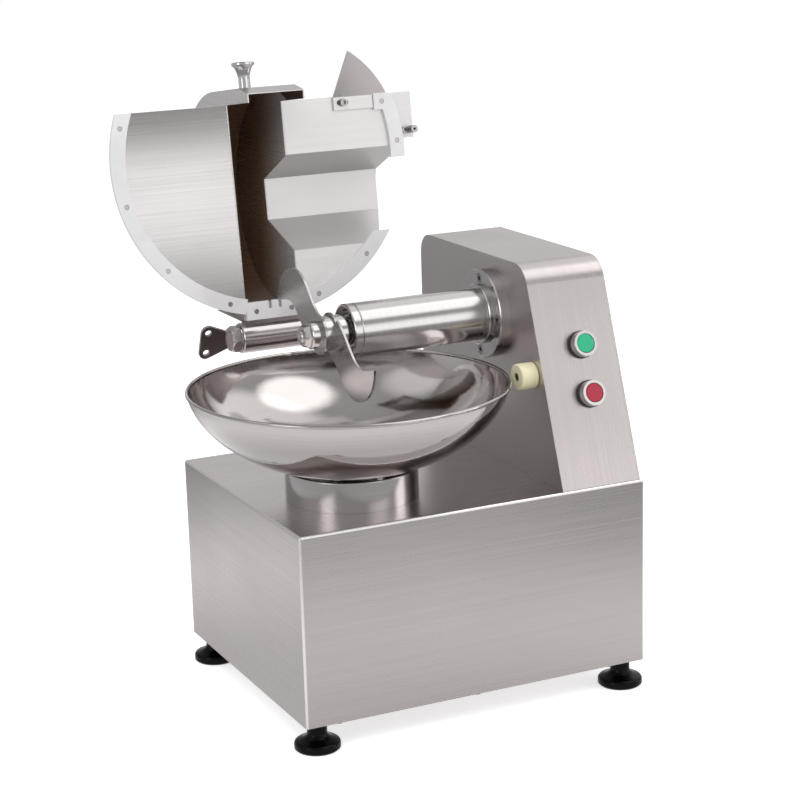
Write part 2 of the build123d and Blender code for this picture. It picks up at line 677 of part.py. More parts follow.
with BuildPart() as bowl_bearing:
    with BuildSketch(bowl_plane(BASE_TOP + PEDESTAL_WALL - NECK_SEAT_DEPTH)):
        Circle(NECK_SEAT - SLIP)
        Circle(BOWL_SHAFT + SLIP, mode=Mode.SUBTRACT)
    extrude(amount=BEARING_WIDTH)
    for face_height in (0, BEARING_WIDTH):
        with BuildSketch(bowl_plane(BASE_TOP + PEDESTAL_WALL - NECK_SEAT_DEPTH + face_height)):
            Circle(NECK_SEAT - 4)
            Circle(BOWL_SHAFT + 3.5, mode=Mode.SUBTRACT)
        extrude(amount=0.8, both=True, mode=Mode.SUBTRACT)
save(bowl_bearing, "bowl_bearing")

# ---------------------------------------------------------------- motor and belts


def motor_at(x):
    return axis_plane(x, MOTOR_Y, MOTOR_Z)


with BuildPart() as motor_body:
    with BuildSketch(motor_at(MOTOR_LEFT)):
        Circle(MOTOR_RADIUS - MOTOR_FIN)
        with PolarLocations(MOTOR_RADIUS - MOTOR_FIN, MOTOR_FINS):
            Rectangle(2 * MOTOR_FIN, 2.4)
    extrude(amount=MOTOR_LENGTH)
    with BuildSketch(motor_at(MOTOR_LEFT)):
        Circle(ROTOR_RADIUS + 0.6)
    extrude(amount=MOTOR_LENGTH, mode=Mode.SUBTRACT)
    with BuildSketch(Plane(origin=(MOTOR_LEFT + MOTOR_LENGTH / 2, MOTOR_Y, TRAY_TOP))):
        with GridLocations(MOTOR_LENGTH - 40, 0, 2, 1):
            Rectangle(26, 2 * MOTOR_FOOT)
    extrude(amount=MOTOR_FOOT_THICK)
    with BuildSketch(Plane(origin=(MOTOR_LEFT + MOTOR_LENGTH / 2, MOTOR_Y, TRAY_TOP))):
        with GridLocations(MOTOR_LENGTH - 40, 64, 2, 2):
            Rectangle(20, 6)
    extrude(amount=MOTOR_Z - TRAY_TOP - MOTOR_RADIUS * 0.75)
    for bell_x, bell_way in ((MOTOR_LEFT, -1), (MOTOR_LEFT + MOTOR_LENGTH, 1)):
        with BuildSketch(motor_at(bell_x)):
            Circle(MOTOR_RADIUS - 1)
        extrude(amount=bell_way * 8)
        with BuildSketch(motor_at(bell_x + bell_way * 8)):
            Circle(MOTOR_RADIUS * 0.8)
        extrude(amount=bell_way * 8, taper=25)
        with BuildSketch(motor_at(bell_x)):
            Circle(MOTOR_SHAFT + SLIP)
        extrude(amount=bell_way * 16, mode=Mode.SUBTRACT)
save(motor_body, "motor_body")

with BuildPart() as motor_rotor:
    with BuildSketch(motor_at(MOTOR_LEFT - 34)):
        Circle(MOTOR_SHAFT)
    extrude(amount=MOTOR_SHAFT_END - MOTOR_LEFT + 34)
    with BuildSketch(motor_at(MOTOR_LEFT + 12)):
        Circle(ROTOR_RADIUS)
    extrude(amount=MOTOR_LENGTH - 24)
    with BuildSketch(motor_at(MOTOR_LEFT - 32)):
        Circle(MOTOR_SHAFT + 8)
        with PolarLocations(MOTOR_RADIUS * 0.45, 7):
            Rectangle(MOTOR_RADIUS * 0.66, 2.4)
    extrude(amount=12)
save(motor_rotor, "motor_rotor")

with BuildPart() as motor_fan_cover:
    with BuildSketch(motor_at(MOTOR_LEFT - 8)):
        Circle(MOTOR_RADIUS)
    extrude(amount=-32)
    fillet(motor_fan_cover.edges().sort_by(Axis.X)[0], 8)
    offset(amount=-1.2, openings=motor_fan_cover.faces().sort_by(Axis.X)[-1])
    with BuildSketch(motor_at(MOTOR_LEFT - 45)):
        with PolarLocations(MOTOR_RADIUS * 0.55, 10):
            SlotOverall(MOTOR_RADIUS * 0.5, 5)
    extrude(amount=12, mode=Mode.SUBTRACT)
save(motor_fan_cover, "motor_fan_cover")


def belt(start, end, start_radius, end_radius, x):
    """Closed flat-backed belt round two pulleys, clear of both by the running gap."""
    with BuildPart() as loop:
        for grow, mode in ((GAP + BELT_THICK, Mode.ADD), (GAP, Mode.SUBTRACT)):
            with BuildSketch(Plane.YZ.offset(x - BELT_WIDTH / 2)):
                with Locations(start):
                    Circle(start_radius + grow)
                with Locations(end):
                    Circle(end_radius + grow)
                make_hull()
            extrude(amount=BELT_WIDTH, mode=mode)
    return loop


def pulley(centre, bore, grooves):
    """Flanged belt pulley; each groove is a belt radius and the middle of its width."""
    with BuildPart() as wheel:
        for radius, x in grooves:
            with BuildSketch(axis_plane(x - PULLEY_WIDTH / 2, *centre)):
                Circle(radius)
            extrude(amount=PULLEY_WIDTH)
            for cheek_x in (x - PULLEY_WIDTH / 2, x + PULLEY_WIDTH / 2 - PULLEY_CHEEK):
                with BuildSketch(axis_plane(cheek_x, *centre)):
                    Circle(radius + BELT_THICK)
                extrude(amount=PULLEY_CHEEK)
        with BuildSketch(axis_plane(grooves[0][1] - PULLEY_WIDTH / 2, *centre)):
            Circle(bore)
        extrude(amount=grooves[-1][1] - grooves[0][1] + PULLEY_WIDTH, mode=Mode.SUBTRACT)
        if len(grooves) > 1:
            with BuildSketch(axis_plane(grooves[0][1], *centre)):
                Circle(bore + 6)
                Circle(bore, mode=Mode.SUBTRACT)
            extrude(amount=grooves[-1][1] - grooves[0][1])
    return wheel


motor_centre = (MOTOR_Y, MOTOR_Z)
knife_centre = (KNIFE_Y, KNIFE_Z)
worm_centre = (WORM_Y, WORM_Z)
save(pulley(motor_centre, MOTOR_SHAFT, [(MOTOR_KNIFE_PULLEY, KNIFE_BELT_X),
                                        (MOTOR_BOWL_PULLEY, BOWL_BELT_X)]), "motor_pulley")
save(pulley(knife_centre, SPINDLE, [(KNIFE_PULLEY, KNIFE_BELT_X)]), "knife_pulley")
save(pulley(worm_centre, WORM_SHAFT, [(WORM_PULLEY, BOWL_BELT_X)]), "worm_pulley")
save(belt(motor_centre, knife_centre, MOTOR_KNIFE_PULLEY, KNIFE_PULLEY, KNIFE_BELT_X),
     "knife_belt")
save(belt(motor_centre, worm_centre, MOTOR_BOWL_PULLEY, WORM_PULLEY, BOWL_BELT_X),
     "bowl_belt")
save(tube(axis_plane(GEARBOX_RIGHT - WORM_BORE_DEPTH + 2, *worm_centre), WORM_SHAFT, 0,
          BOWL_BELT_X + PULLEY_WIDTH / 2 - GEARBOX_RIGHT + WORM_BORE_DEPTH), "worm_shaft")

with BuildPart() as control_box:
    with BuildSketch(Plane(origin=(CONTROL_X, CONTROL_Y, TRAY_TOP))):
        RectangleRounded(*CONTROL_SIZE, 3)
    extrude(amount=CONTROL_HEIGHT)
    with BuildSketch(Plane(origin=(CONTROL_X, CONTROL_Y, TRAY_TOP + CONTROL_HEIGHT))):
        with GridLocations(0, 14, 1, 4):
            Rectangle(CONTROL_SIZE[0] - 16, 6)
    extrude(amount=-3, mode=Mode.SUBTRACT)
save(control_box, "control_box")

# ---------------------------------------------------------------- knife spindle

spindle_profile = Plane(origin=(0, KNIFE_Y, KNIFE_Z), x_dir=(1, 0, 0), z_dir=(0, -1, 0))
spindle_axis = Axis((0, KNIFE_Y, KNIFE_Z), (1, 0, 0))
TUBE_LEFT = TUBE_END + CAP_LENGTH
FLANGE_LEFT = HEAD_LEFT - FLANGE_THICK
SPIGOT_END = HEAD_LEFT + SPIGOT_LENGTH
CAP_FLOOR = TUBE_END + CAP_RECESS
cap_screw_places = ring_places(CAP_SCREW_CIRCLE, 6, 0)

with BuildPart() as spindle_housing:
    with BuildSketch(spindle_profile):
        with BuildLine():
            Polyline((TUBE_LEFT, SPINDLE + 2), (TUBE_LEFT, TUBE_RADIUS - 0.6),
                     (TUBE_LEFT + 0.6, TUBE_RADIUS),
                     (FLANGE_LEFT - COLLAR_LENGTH, TUBE_RADIUS),
                     (FLANGE_LEFT - COLLAR_LENGTH, COLLAR_RADIUS - 1),
                     (FLANGE_LEFT - COLLAR_LENGTH + 1, COLLAR_RADIUS),
                     (FLANGE_LEFT, COLLAR_RADIUS), (FLANGE_LEFT, FLANGE_RADIUS - 1),
                     (FLANGE_LEFT + 1, FLANGE_RADIUS), (HEAD_LEFT, FLANGE_RADIUS),
                     (HEAD_LEFT, SPIGOT_RADIUS), (SPIGOT_END, SPIGOT_RADIUS),
                     (SPIGOT_END, SPINDLE + 2), (TUBE_LEFT, SPINDLE + 2))
        make_face()
    revolve(axis=spindle_axis)
    for seat_start, seat_length in ((TUBE_LEFT, 2 * SPINDLE_BEARING + SEAT),
                                    (SPIGOT_END - SPINDLE_BEARING, SPINDLE_BEARING)):
        with BuildSketch(knife_plane(seat_start)):
            Circle(SEAT_RADIUS + SLIP)
        extrude(amount=seat_length, mode=Mode.SUBTRACT)
    with BuildSketch(knife_plane(FLANGE_LEFT)):
        with Locations(*flange_screw_places):
            Circle(FLANGE_SCREW + SEAT)
    extrude(amount=FLANGE_THICK, mode=Mode.SUBTRACT)
    with BuildSketch(knife_plane(FLANGE_LEFT)):
        with Locations(*flange_screw_places):
            Circle(FLANGE_SCREW * 1.9)
    extrude(amount=FLANGE_SCREW * 1.8, mode=Mode.SUBTRACT)
    with BuildSketch(knife_plane(TUBE_LEFT)):
        with Locations(*cap_screw_places):
            Circle(CAP_SCREW + SEAT)
    extrude(amount=10, mode=Mode.SUBTRACT)
save(spindle_housing, "spindle_housing")

head_screw_plane = knife_plane(FLANGE_LEFT + FLANGE_SCREW * 1.8)
save(socket_screw(head_screw_plane.rotated((0, 180, 0)), flange_screw_places, FLANGE_SCREW,
                  FLANGE_THICK), "flange_screws")


def bearing(x):
    """Deep-groove bearing with recessed shields between its two rings."""
    with BuildPart() as ring:
        with BuildSketch(knife_plane(x)):
            Circle(SEAT_RADIUS)
            Circle(SPINDLE + SLIP, mode=Mode.SUBTRACT)
        extrude(amount=SPINDLE_BEARING)
        for face_x in (x, x + SPINDLE_BEARING):
            with BuildSketch(knife_plane(face_x)):
                Circle(SEAT_RADIUS - 3.5)
                Circle(SPINDLE + 3, mode=Mode.SUBTRACT)
            extrude(amount=0.8, both=True, mode=Mode.SUBTRACT)
    return ring


with BuildPart() as spindle_bearings:
    for bearing_x in (TUBE_LEFT, TUBE_LEFT + SPINDLE_BEARING + SEAT,
                      SPIGOT_END - SPINDLE_BEARING):
        add(bearing(bearing_x).part)
save(spindle_bearings, "spindle_bearings")

with BuildPart() as bearing_cap:
    with BuildSketch(knife_plane(TUBE_END)):
        Circle(TUBE_RADIUS)
    extrude(amount=CAP_LENGTH)
    chamfer(bearing_cap.edges().filter_by(GeomType.CIRCLE), 0.8)
    with BuildSketch(knife_plane(TUBE_END)):
        Circle(TUBE_RADIUS - 2.6)
    extrude(amount=CAP_RECESS, mode=Mode.SUBTRACT)
    with BuildSketch(knife_plane(TUBE_END)):
        Circle(COLLAR_NECK + 1)
        with Locations(*cap_screw_places):
            Circle(CAP_SCREW + SEAT)
    extrude(amount=CAP_LENGTH, mode=Mode.SUBTRACT)
save(bearing_cap, "bearing_cap")
save(socket_screw(knife_plane(CAP_FLOOR).rotated((0, 180, 0)), cap_screw_places, CAP_SCREW,
                  CAP_LENGTH - CAP_RECESS + 7), "cap_screws")
save(tube(knife_plane(CAP_FLOOR + 1), COLLAR_NECK + 1, SPINDLE + SLIP,
          CAP_LENGTH - CAP_RECESS - 1), "shaft_seal")

# ---------------------------------------------------------------- knives

COLLAR_END = BACK_COLLAR_START - BACK_COLLAR_LENGTH
REAR_KNIFE_X = COLLAR_END - KNIFE_THICK
SPACER_X = REAR_KNIFE_X - SPACER_LENGTH
FRONT_KNIFE_X = SPACER_X - KNIFE_THICK
FRONT_SPACER_X = FRONT_KNIFE_X - FRONT_SPACER_LENGTH
NUT_X = FRONT_SPACER_X - KNIFE_NUT_THICK
STUB_X = NUT_X - THREAD_STUB

with BuildPart() as knife_shaft:
    with BuildSketch(spindle_profile):
        with BuildLine():
            Polyline((STUB_X, 2.2), (STUB_X, THREAD_RADIUS - 1), (STUB_X + 1, THREAD_RADIUS),
                     (FRONT_SPACER_X + 2, THREAD_RADIUS), (FRONT_SPACER_X + 2, SPINDLE),
                     (KNIFE_SHAFT_END, SPINDLE), (KNIFE_SHAFT_END, 0), (STUB_X + 5, 0),
                     (STUB_X, 2.2))
        make_face()
    revolve(axis=spindle_axis)
save(knife_shaft, "knife_shaft")

with BuildPart() as back_collar:
    with BuildSketch(knife_plane(COLLAR_END)):
        Circle(BACK_COLLAR)
    extrude(amount=BACK_COLLAR_LENGTH)
    chamfer(back_collar.edges().filter_by(GeomType.CIRCLE), 0.8)
    with BuildSketch(knife_plane(COLLAR_END)):
        Circle(COLLAR_NECK)
    extrude(amount=BACK_COLLAR_LENGTH + COLLAR_NECK_LENGTH)
    with BuildSketch(knife_plane(COLLAR_END)):
        Circle(SPINDLE)
    extrude(amount=2 * BACK_COLLAR_LENGTH, mode=Mode.SUBTRACT)
save(back_collar, "back_collar")


def knife(x, turn):
    """Sickle knife: a hub disc whose arm sweeps forward, ground thin along its outer edge."""
    reach = KNIFE_SWEEP
    with BuildPart() as blade:
        with BuildSketch(knife_plane(x).rotated((turn, 0, 0))):
            with BuildLine():
                tip = (0.97 * reach, 0.16 * reach)
                back = Spline((-0.13 * reach, 0.17 * reach), (0.13 * reach, 0.30 * reach),
                              (0.34 * reach, 0.49 * reach), (0.62 * reach, 0.535 * reach),
                              (0.87 * reach, 0.40 * reach), tip)
                edge = Spline(tip, (0.81 * reach, 0.195 * reach), (0.63 * reach, 0.205 * reach),
                              (0.44 * reach, 0.08 * reach), (0.17 * reach, -0.15 * reach))
                Line(edge @ 1, back @ 0)
            make_face()
            Circle(KNIFE_HUB)
            Circle(SPINDLE + SEAT, mode=Mode.SUBTRACT)
        extrude(amount=KNIFE_THICK)
    return blade


save(knife(REAR_KNIFE_X, 180), "rear_knife")
save(knife(FRONT_KNIFE_X, 0), "front_knife")
save(tube(knife_plane(SPACER_X), SPACER_RADIUS, SPINDLE + SEAT, SPACER_LENGTH), "knife_spacer")

with BuildPart() as front_spacer:
    with BuildSketch(knife_plane(FRONT_SPACER_X)):
        Circle(FRONT_SPACER_RADIUS)
    extrude(amount=FRONT_SPACER_LENGTH)
    chamfer(front_spacer.edges().filter_by(GeomType.CIRCLE).sort_by(Axis.X)[0], 1.2)
    with BuildSketch(knife_plane(FRONT_SPACER_X)):
        Circle(SPINDLE + SEAT)
    extrude(amount=FRONT_SPACER_LENGTH, mode=Mode.SUBTRACT)
save(front_spacer, "front_spacer")


def hex_nut(plane, flats, bore, thick):
    """Plain hexagon nut with its corners turned off on the outer face."""
    with BuildPart() as nut:
        with BuildSketch(plane):
            RegularPolygon(flats / 2, 6, major_radius=False)
        extrude(amount=thick)
        with BuildSketch(plane):
            Circle(flats / 2 * 0.96)
        extrude(amount=thick, taper=-32, mode=Mode.INTERSECT)
        with BuildSketch(plane):
            Circle(bore)
        extrude(amount=thick, mode=Mode.SUBTRACT)
    return nut


save(hex_nut(knife_plane(NUT_X), KNIFE_NUT, THREAD_RADIUS, KNIFE_NUT_THICK), "knife_nut")

# ---------------------------------------------------------------- lid hinge

PIVOT_LEFT = SLEEVE_LEFT - WASHER_THICK - 2 * GAP - PIVOT_NUT_THICK
STOP_TURN = degrees(asin((STOP_PIN + SEAT) / STOP_PIN_RADIUS))

with BuildPart() as pivot_shaft:
    with BuildSketch(pivot_plane(PIVOT_LEFT)):
        Circle(PIVOT_RADIUS)
    extrude(amount=PIVOT_END - PIVOT_LEFT)
    with BuildSketch(pivot_plane(HEAD_LEFT - PIVOT_FLANGE_THICK)):
        Circle(PIVOT_FLANGE)
    extrude(amount=PIVOT_FLANGE_THICK)
    chamfer(pivot_shaft.edges().filter_by(GeomType.CIRCLE).sort_by(Axis.X)[1], 1.5)
save(pivot_shaft, "pivot_shaft")

with BuildPart() as pivot_collar:
    with BuildSketch(pivot_plane(SLEEVE_RIGHT + GAP)):
        Circle(SLEEVE_RADIUS)
        Circle(PIVOT_RADIUS, mode=Mode.SUBTRACT)
    extrude(amount=PIVOT_COLLAR_LENGTH)
    with BuildSketch(pivot_plane(SLEEVE_RIGHT + GAP).rotated((STOP_ANGLE, 0, 0))):
        with Locations((STOP_PIN_RADIUS, 0)):
            Circle(STOP_PIN)
    extrude(amount=-STOP_NOTCH + 1)
save(pivot_collar, "pivot_collar")

save(tube(pivot_plane(SLEEVE_LEFT - GAP - WASHER_THICK), WASHER_RADIUS, PIVOT_RADIUS,
          WASHER_THICK), "pivot_washer")
save(hex_nut(pivot_plane(PIVOT_LEFT), PIVOT_NUT, PIVOT_RADIUS, PIVOT_NUT_THICK), "pivot_nut")

with BuildPart() as wing_plate:
    with BuildSketch(Plane(origin=(PIVOT_LEFT, PIVOT_Y, PIVOT_Z), x_dir=(1, 0, 0),
                           z_dir=(0, -cos(WING_LEAN), -sin(WING_LEAN)))):
        with Locations((WING_HOLE_X, WING_HOLE_OUT), (WING_HOLE_X, -WING_HOLE_OUT)):
            Circle(WING_LOBE)
        with Locations((-WING_ROOT / 2, 0)):
            Rectangle(WING_ROOT, 2 * PIVOT_RADIUS)
        make_hull()
        with Locations((WING_HOLE_X, WING_HOLE_OUT), (WING_HOLE_X, -WING_HOLE_OUT)):
            Circle(WING_HOLE, mode=Mode.SUBTRACT)
    extrude(amount=WING_THICK / 2, both=True)
save(wing_plate, "wing_plate")

# ---------------------------------------------------------------- lid

# The lid is drawn in its own frame: x along the hinge, v towards the hinge and d outwards,
# measured from the bowl's axis and the underside of the gasket. Shut, the frame is level.
LID_FACE = RIM_HEIGHT + RIM_BEAD + GAP
open_angle = radians(LID_OPEN)
shut_y = BOWL_Y - PIVOT_Y
shut_z = LID_FACE - PIVOT_Z
lid_origin = (
    BOWL_X,
    PIVOT_Y + shut_y * cos(open_angle) + shut_z * sin(open_angle),
    PIVOT_Z - shut_y * sin(open_angle) + shut_z * cos(open_angle),
)
lid_frame = Plane(origin=lid_origin, x_dir=(1, 0, 0),
                  z_dir=(0, sin(open_angle), cos(open_angle)))
KNIFE_V = KNIFE_Y - BOWL_Y
KNIFE_D = KNIFE_Z - LID_FACE
PIVOT_V = PIVOT_Y - BOWL_Y
GASKET_MIDDLE = GASKET_RADIUS - GASKET_WIDTH / 2
PANEL_TOP = GASKET_THICK + SHEET
lid_middle = (0, LID_SHIFT)


def lid_level(height):
    return lid_frame.offset(height)


def lid_side(x):
    """Plane across the hinge axis, with v to its right and d up."""
    return Plane(origin=lid_frame.from_local_coords((x, 0, 0)),
                 x_dir=(0, cos(open_angle), -sin(open_angle)), z_dir=(1, 0, 0))


def lid_round(radius, angle):
    """Point on a circle about the lid's own centre."""
    return (radius * cos(radians(angle)), LID_SHIFT + radius * sin(radians(angle)))


def on_gasket(angle):
    return lid_round(GASKET_MIDDLE, angle)


HINGE_PANEL_SCREWS = [on_gasket(angle) for angle in (108.7, 71.2)]
LEFT_SCREWS = [on_gasket(angle) for angle in (195.4, 166, 137)]
RIGHT_SCREWS = [on_gasket(angle) for angle in (45.5, -2)] + [(150.7, -45.0)]
GASKET_SCREWS = LEFT_SCREWS + RIGHT_SCREWS


def cover_heel(height):
    """Where the knife cover's rear wall ends at a height above the gasket's underside."""
    return KNIFE_V + sqrt(HUMP_RADIUS**2 - (KNIFE_D - height) ** 2)


knob_plane = Plane(
    origin=lid_frame.from_local_coords((KNOB_X, KNIFE_V - HUMP_RADIUS, -KNOB_DROP)),
    x_dir=(1, 0, 0),
    z_dir=-lid_frame.y_dir,
)
HINGE_MIDDLE = (SLEEVE_LEFT + SLEEVE_RIGHT) / 2 - BOWL_X
HINGE_NECK = (SLEEVE_RIGHT - SLEEVE_LEFT) / 2 - 2
HINGE_GASKET_SCREWS = [(HUMP_LEFT + 12, HEEL_SCREW_V), (HUMP_RIGHT - 12, HEEL_SCREW_V)]

with BuildPart() as lid_left_panel:
    with BuildSketch(lid_level(GASKET_THICK)):
        with Locations(lid_middle):
            Circle(LID_RADIUS)
        with Locations((-LID_RADIUS, -LID_FRONT)):
            Rectangle(LID_RADIUS + HUMP_LEFT, 2 * LID_RADIUS, align=(Align.MIN, Align.MIN),
                      mode=Mode.INTERSECT)
        with Locations(*LEFT_SCREWS, *HINGE_PANEL_SCREWS):
            Circle(GASKET_SCREW + SEAT, mode=Mode.SUBTRACT)
    extrude(amount=SHEET)
save(lid_left_panel, "lid_left_panel")


def channel_outline(foot):
    """Section of the right panel: flat, up over the spindle tube, and down to flat again."""
    return [(CHANNEL_FOOT_FRONT, foot), (CHANNEL_ROOF_FRONT, CHANNEL_DEPTH),
            (CHANNEL_ROOF_REAR, CHANNEL_DEPTH), (CHANNEL_FOOT_REAR, foot)]


with BuildPart() as lid_right_panel:
    with BuildSketch(lid_side(HUMP_RIGHT)):
        with BuildLine() as panel_line:
            Polyline((-LID_FRONT, GASKET_THICK), *channel_outline(GASKET_THICK),
                     (LID_RADIUS, GASKET_THICK))
            offset(amount=SHEET, side=Side.LEFT)
        make_face()
    extrude(amount=LID_RADIUS)
    with BuildSketch(lid_level(0)):
        with Locations(lid_middle):
            Circle(LID_RADIUS)
        with BuildLine():
            Polyline((HUMP_RIGHT, CHANNEL_FOOT_FRONT), (CHANNEL_END, CHANNEL_FOOT_FRONT),
                     (CHANNEL_END, CHANNEL_ROOF_REAR),
                     (CHANNEL_END - CHANNEL_FOOT_REAR + CHANNEL_ROOF_REAR, CHANNEL_FOOT_REAR),
                     (HUMP_RIGHT, CHANNEL_FOOT_REAR), close=True)
        make_face()
    extrude(amount=2 * CHANNEL_DEPTH, mode=Mode.INTERSECT)
    with BuildSketch(lid_level(0)):
        with Locations(*RIGHT_SCREWS, *HINGE_PANEL_SCREWS):
            Circle(GASKET_SCREW + SEAT)
        with Locations(FIN_SCREW_PLACE):
            Circle(FIN_SCREW + SEAT)
    extrude(amount=2 * PANEL_TOP, mode=Mode.SUBTRACT)
save(lid_right_panel, "lid_right_panel")


def cover_outline(inset, margin):
    """Side view of the knife cover: a drum over the knives with a chin into the bowl."""
    radius = HUMP_RADIUS - inset
    front = KNIFE_V - radius
    foot = GASKET_THICK - margin
    rear = KNIFE_V + sqrt(radius**2 - (KNIFE_D - foot) ** 2)
    with BuildLine() as outline:
        Polyline((rear, foot), (margin - LID_FRONT, foot),
                 (margin - LID_FRONT, -CHIN_DEPTH - margin),
                 (inset - CHIN_TIP, -CHIN_DEPTH - margin), (front, -CHIN_BEND), (front, KNIFE_D))
        ThreePointArc((front, KNIFE_D), (KNIFE_V, KNIFE_D + radius), (rear, foot))
    return outline.edges()


with BuildPart() as knife_cover:
    with BuildSketch(lid_side(HUMP_LEFT)):
        make_face(cover_outline(0, 0))
    extrude(amount=HUMP_RIGHT - HUMP_LEFT)
    with BuildSketch(lid_side(HUMP_LEFT + SHEET)):
        make_face(cover_outline(SHEET, SHEET))
    extrude(amount=HUMP_RIGHT - HUMP_LEFT - 2 * SHEET, mode=Mode.SUBTRACT)
    with BuildSketch(lid_side(HUMP_RIGHT - 2 * SHEET)):
        with BuildLine():
            Polyline(*channel_outline(GASKET_THICK - SHEET), close=True)
        make_face()
    extrude(amount=3 * SHEET, mode=Mode.SUBTRACT)
    with BuildSketch(knob_plane):
        Circle(KNOB_STUD + SEAT)
    extrude(amount=2 * SHEET, both=True, mode=Mode.SUBTRACT)
save(knife_cover, "knife_cover")

with BuildPart() as knob:
    with BuildSketch(Plane(origin=knob_plane.origin, x_dir=knob_plane.x_dir,
                           z_dir=-knob_plane.y_dir)):
        with BuildLine():
            Polyline((0, -3 * SHEET), (KNOB_STUD, -3 * SHEET), (KNOB_STUD, 0), (KNOB_STEM, 0),
                     (KNOB_STEM, KNOB_HEIGHT * 0.35))
            Spline((KNOB_STEM, KNOB_HEIGHT * 0.35), (KNOB_STEM + 1.6, KNOB_HEIGHT * 0.66),
                   (KNOB_RADIUS, KNOB_HEIGHT - 3), tangents=[(0, 1), (1, 0.55)])
            Polyline((KNOB_RADIUS, KNOB_HEIGHT - 3), (KNOB_RADIUS, KNOB_HEIGHT - 1),
                     (KNOB_RADIUS - 1.5, KNOB_HEIGHT), (0, KNOB_HEIGHT), (0, -3 * SHEET))
        make_face()
    revolve(axis=Axis(knob_plane.origin, knob_plane.z_dir))
save(knob, "knob")

with BuildPart() as lid_hinge:
    with BuildSketch(lid_level(PANEL_TOP)):
        with Locations(lid_middle):
            Circle(LID_RADIUS)
        with Locations((HINGE_MIDDLE, HINGE_FRONT)):
            Rectangle(HINGE_SPREAD, LID_RADIUS, align=(Align.CENTER, Align.MIN),
                      mode=Mode.INTERSECT)
        with Locations((HINGE_MIDDLE, LID_RADIUS - 14)):
            Rectangle(2 * HINGE_NECK, PIVOT_V - LID_RADIUS, align=(Align.CENTER, Align.MIN))
        with BuildLine():
            Polyline((HINGE_MIDDLE - HINGE_NECK - HINGE_SHOULDER, HINGE_SHOULDER_TOP),
                     (HINGE_MIDDLE - HINGE_NECK, HINGE_SHOULDER_END),
                     (HINGE_MIDDLE + HINGE_NECK, HINGE_SHOULDER_END),
                     (HINGE_MIDDLE + HINGE_NECK + HINGE_SHOULDER, HINGE_SHOULDER_TOP), close=True)
        make_face()
        with Locations((HUMP_LEFT - GAP, 0)):
            Rectangle(HUMP_RIGHT - HUMP_LEFT + 2 * GAP, cover_heel(PANEL_TOP + HINGE_THICK) + GAP,
                      align=(Align.MIN, Align.MIN), mode=Mode.SUBTRACT)
        with Locations(*HINGE_GASKET_SCREWS, *HINGE_PANEL_SCREWS):
            Circle(GASKET_SCREW + SEAT, mode=Mode.SUBTRACT)
    extrude(amount=HINGE_THICK)
    with BuildSketch(pivot_plane(SLEEVE_LEFT)):
        Circle(SLEEVE_RADIUS)
    extrude(amount=SLEEVE_RIGHT - SLEEVE_LEFT)
    rims = lid_hinge.edges().filter_by(GeomType.CIRCLE)
    rims = rims.filter_by(lambda rim: abs(rim.radius - SLEEVE_RADIUS) < SEAT)
    chamfer(rims.sort_by(Axis.X)[0], 1)
    with BuildSketch(pivot_plane(SLEEVE_LEFT)):
        Circle(PIVOT_RADIUS + BUSH_WALL)
    extrude(amount=SLEEVE_RIGHT - SLEEVE_LEFT, mode=Mode.SUBTRACT)
    with BuildSketch(pivot_plane(SLEEVE_RIGHT)):
        with BuildLine():
            CenterArc((0, 0), SLEEVE_RADIUS + 1, STOP_ANGLE - LID_OPEN - STOP_TURN,
                      LID_OPEN + 2 * STOP_TURN)
            CenterArc((0, 0), STOP_PIN_RADIUS - STOP_PIN - SEAT,
                      STOP_ANGLE - LID_OPEN - STOP_TURN, LID_OPEN + 2 * STOP_TURN)
            for stop_side in (-LID_OPEN - STOP_TURN, STOP_TURN):
                notch = radians(STOP_ANGLE + stop_side)
                inner = STOP_PIN_RADIUS - STOP_PIN - SEAT
                outer = SLEEVE_RADIUS + 1
                Line((inner * cos(notch), inner * sin(notch)),
                     (outer * cos(notch), outer * sin(notch)))
        make_face()
    extrude(amount=-STOP_NOTCH, mode=Mode.SUBTRACT)
save(lid_hinge, "lid_hinge")

with BuildPart() as pivot_bushes:
    for bush_x in (SLEEVE_LEFT, SLEEVE_RIGHT - STOP_NOTCH - BUSH_LENGTH):
        add(tube(pivot_plane(bush_x), PIVOT_RADIUS + BUSH_WALL, PIVOT_RADIUS + SLIP,
                 BUSH_LENGTH).part)
save(pivot_bushes, "pivot_bushes")


def gasket_strip(start, end):
    """Outline of a flat strip round the lid's edge between two angles."""
    with BuildSketch() as strip:
        with BuildLine():
            CenterArc(lid_middle, GASKET_RADIUS, start, end - start)
            CenterArc(lid_middle, GASKET_RADIUS - GASKET_WIDTH, start, end - start)
            for angle in (start, end):
                Line(lid_round(GASKET_RADIUS, angle),
                     lid_round(GASKET_RADIUS - GASKET_WIDTH, angle))
        make_face()
    return strip.sketch


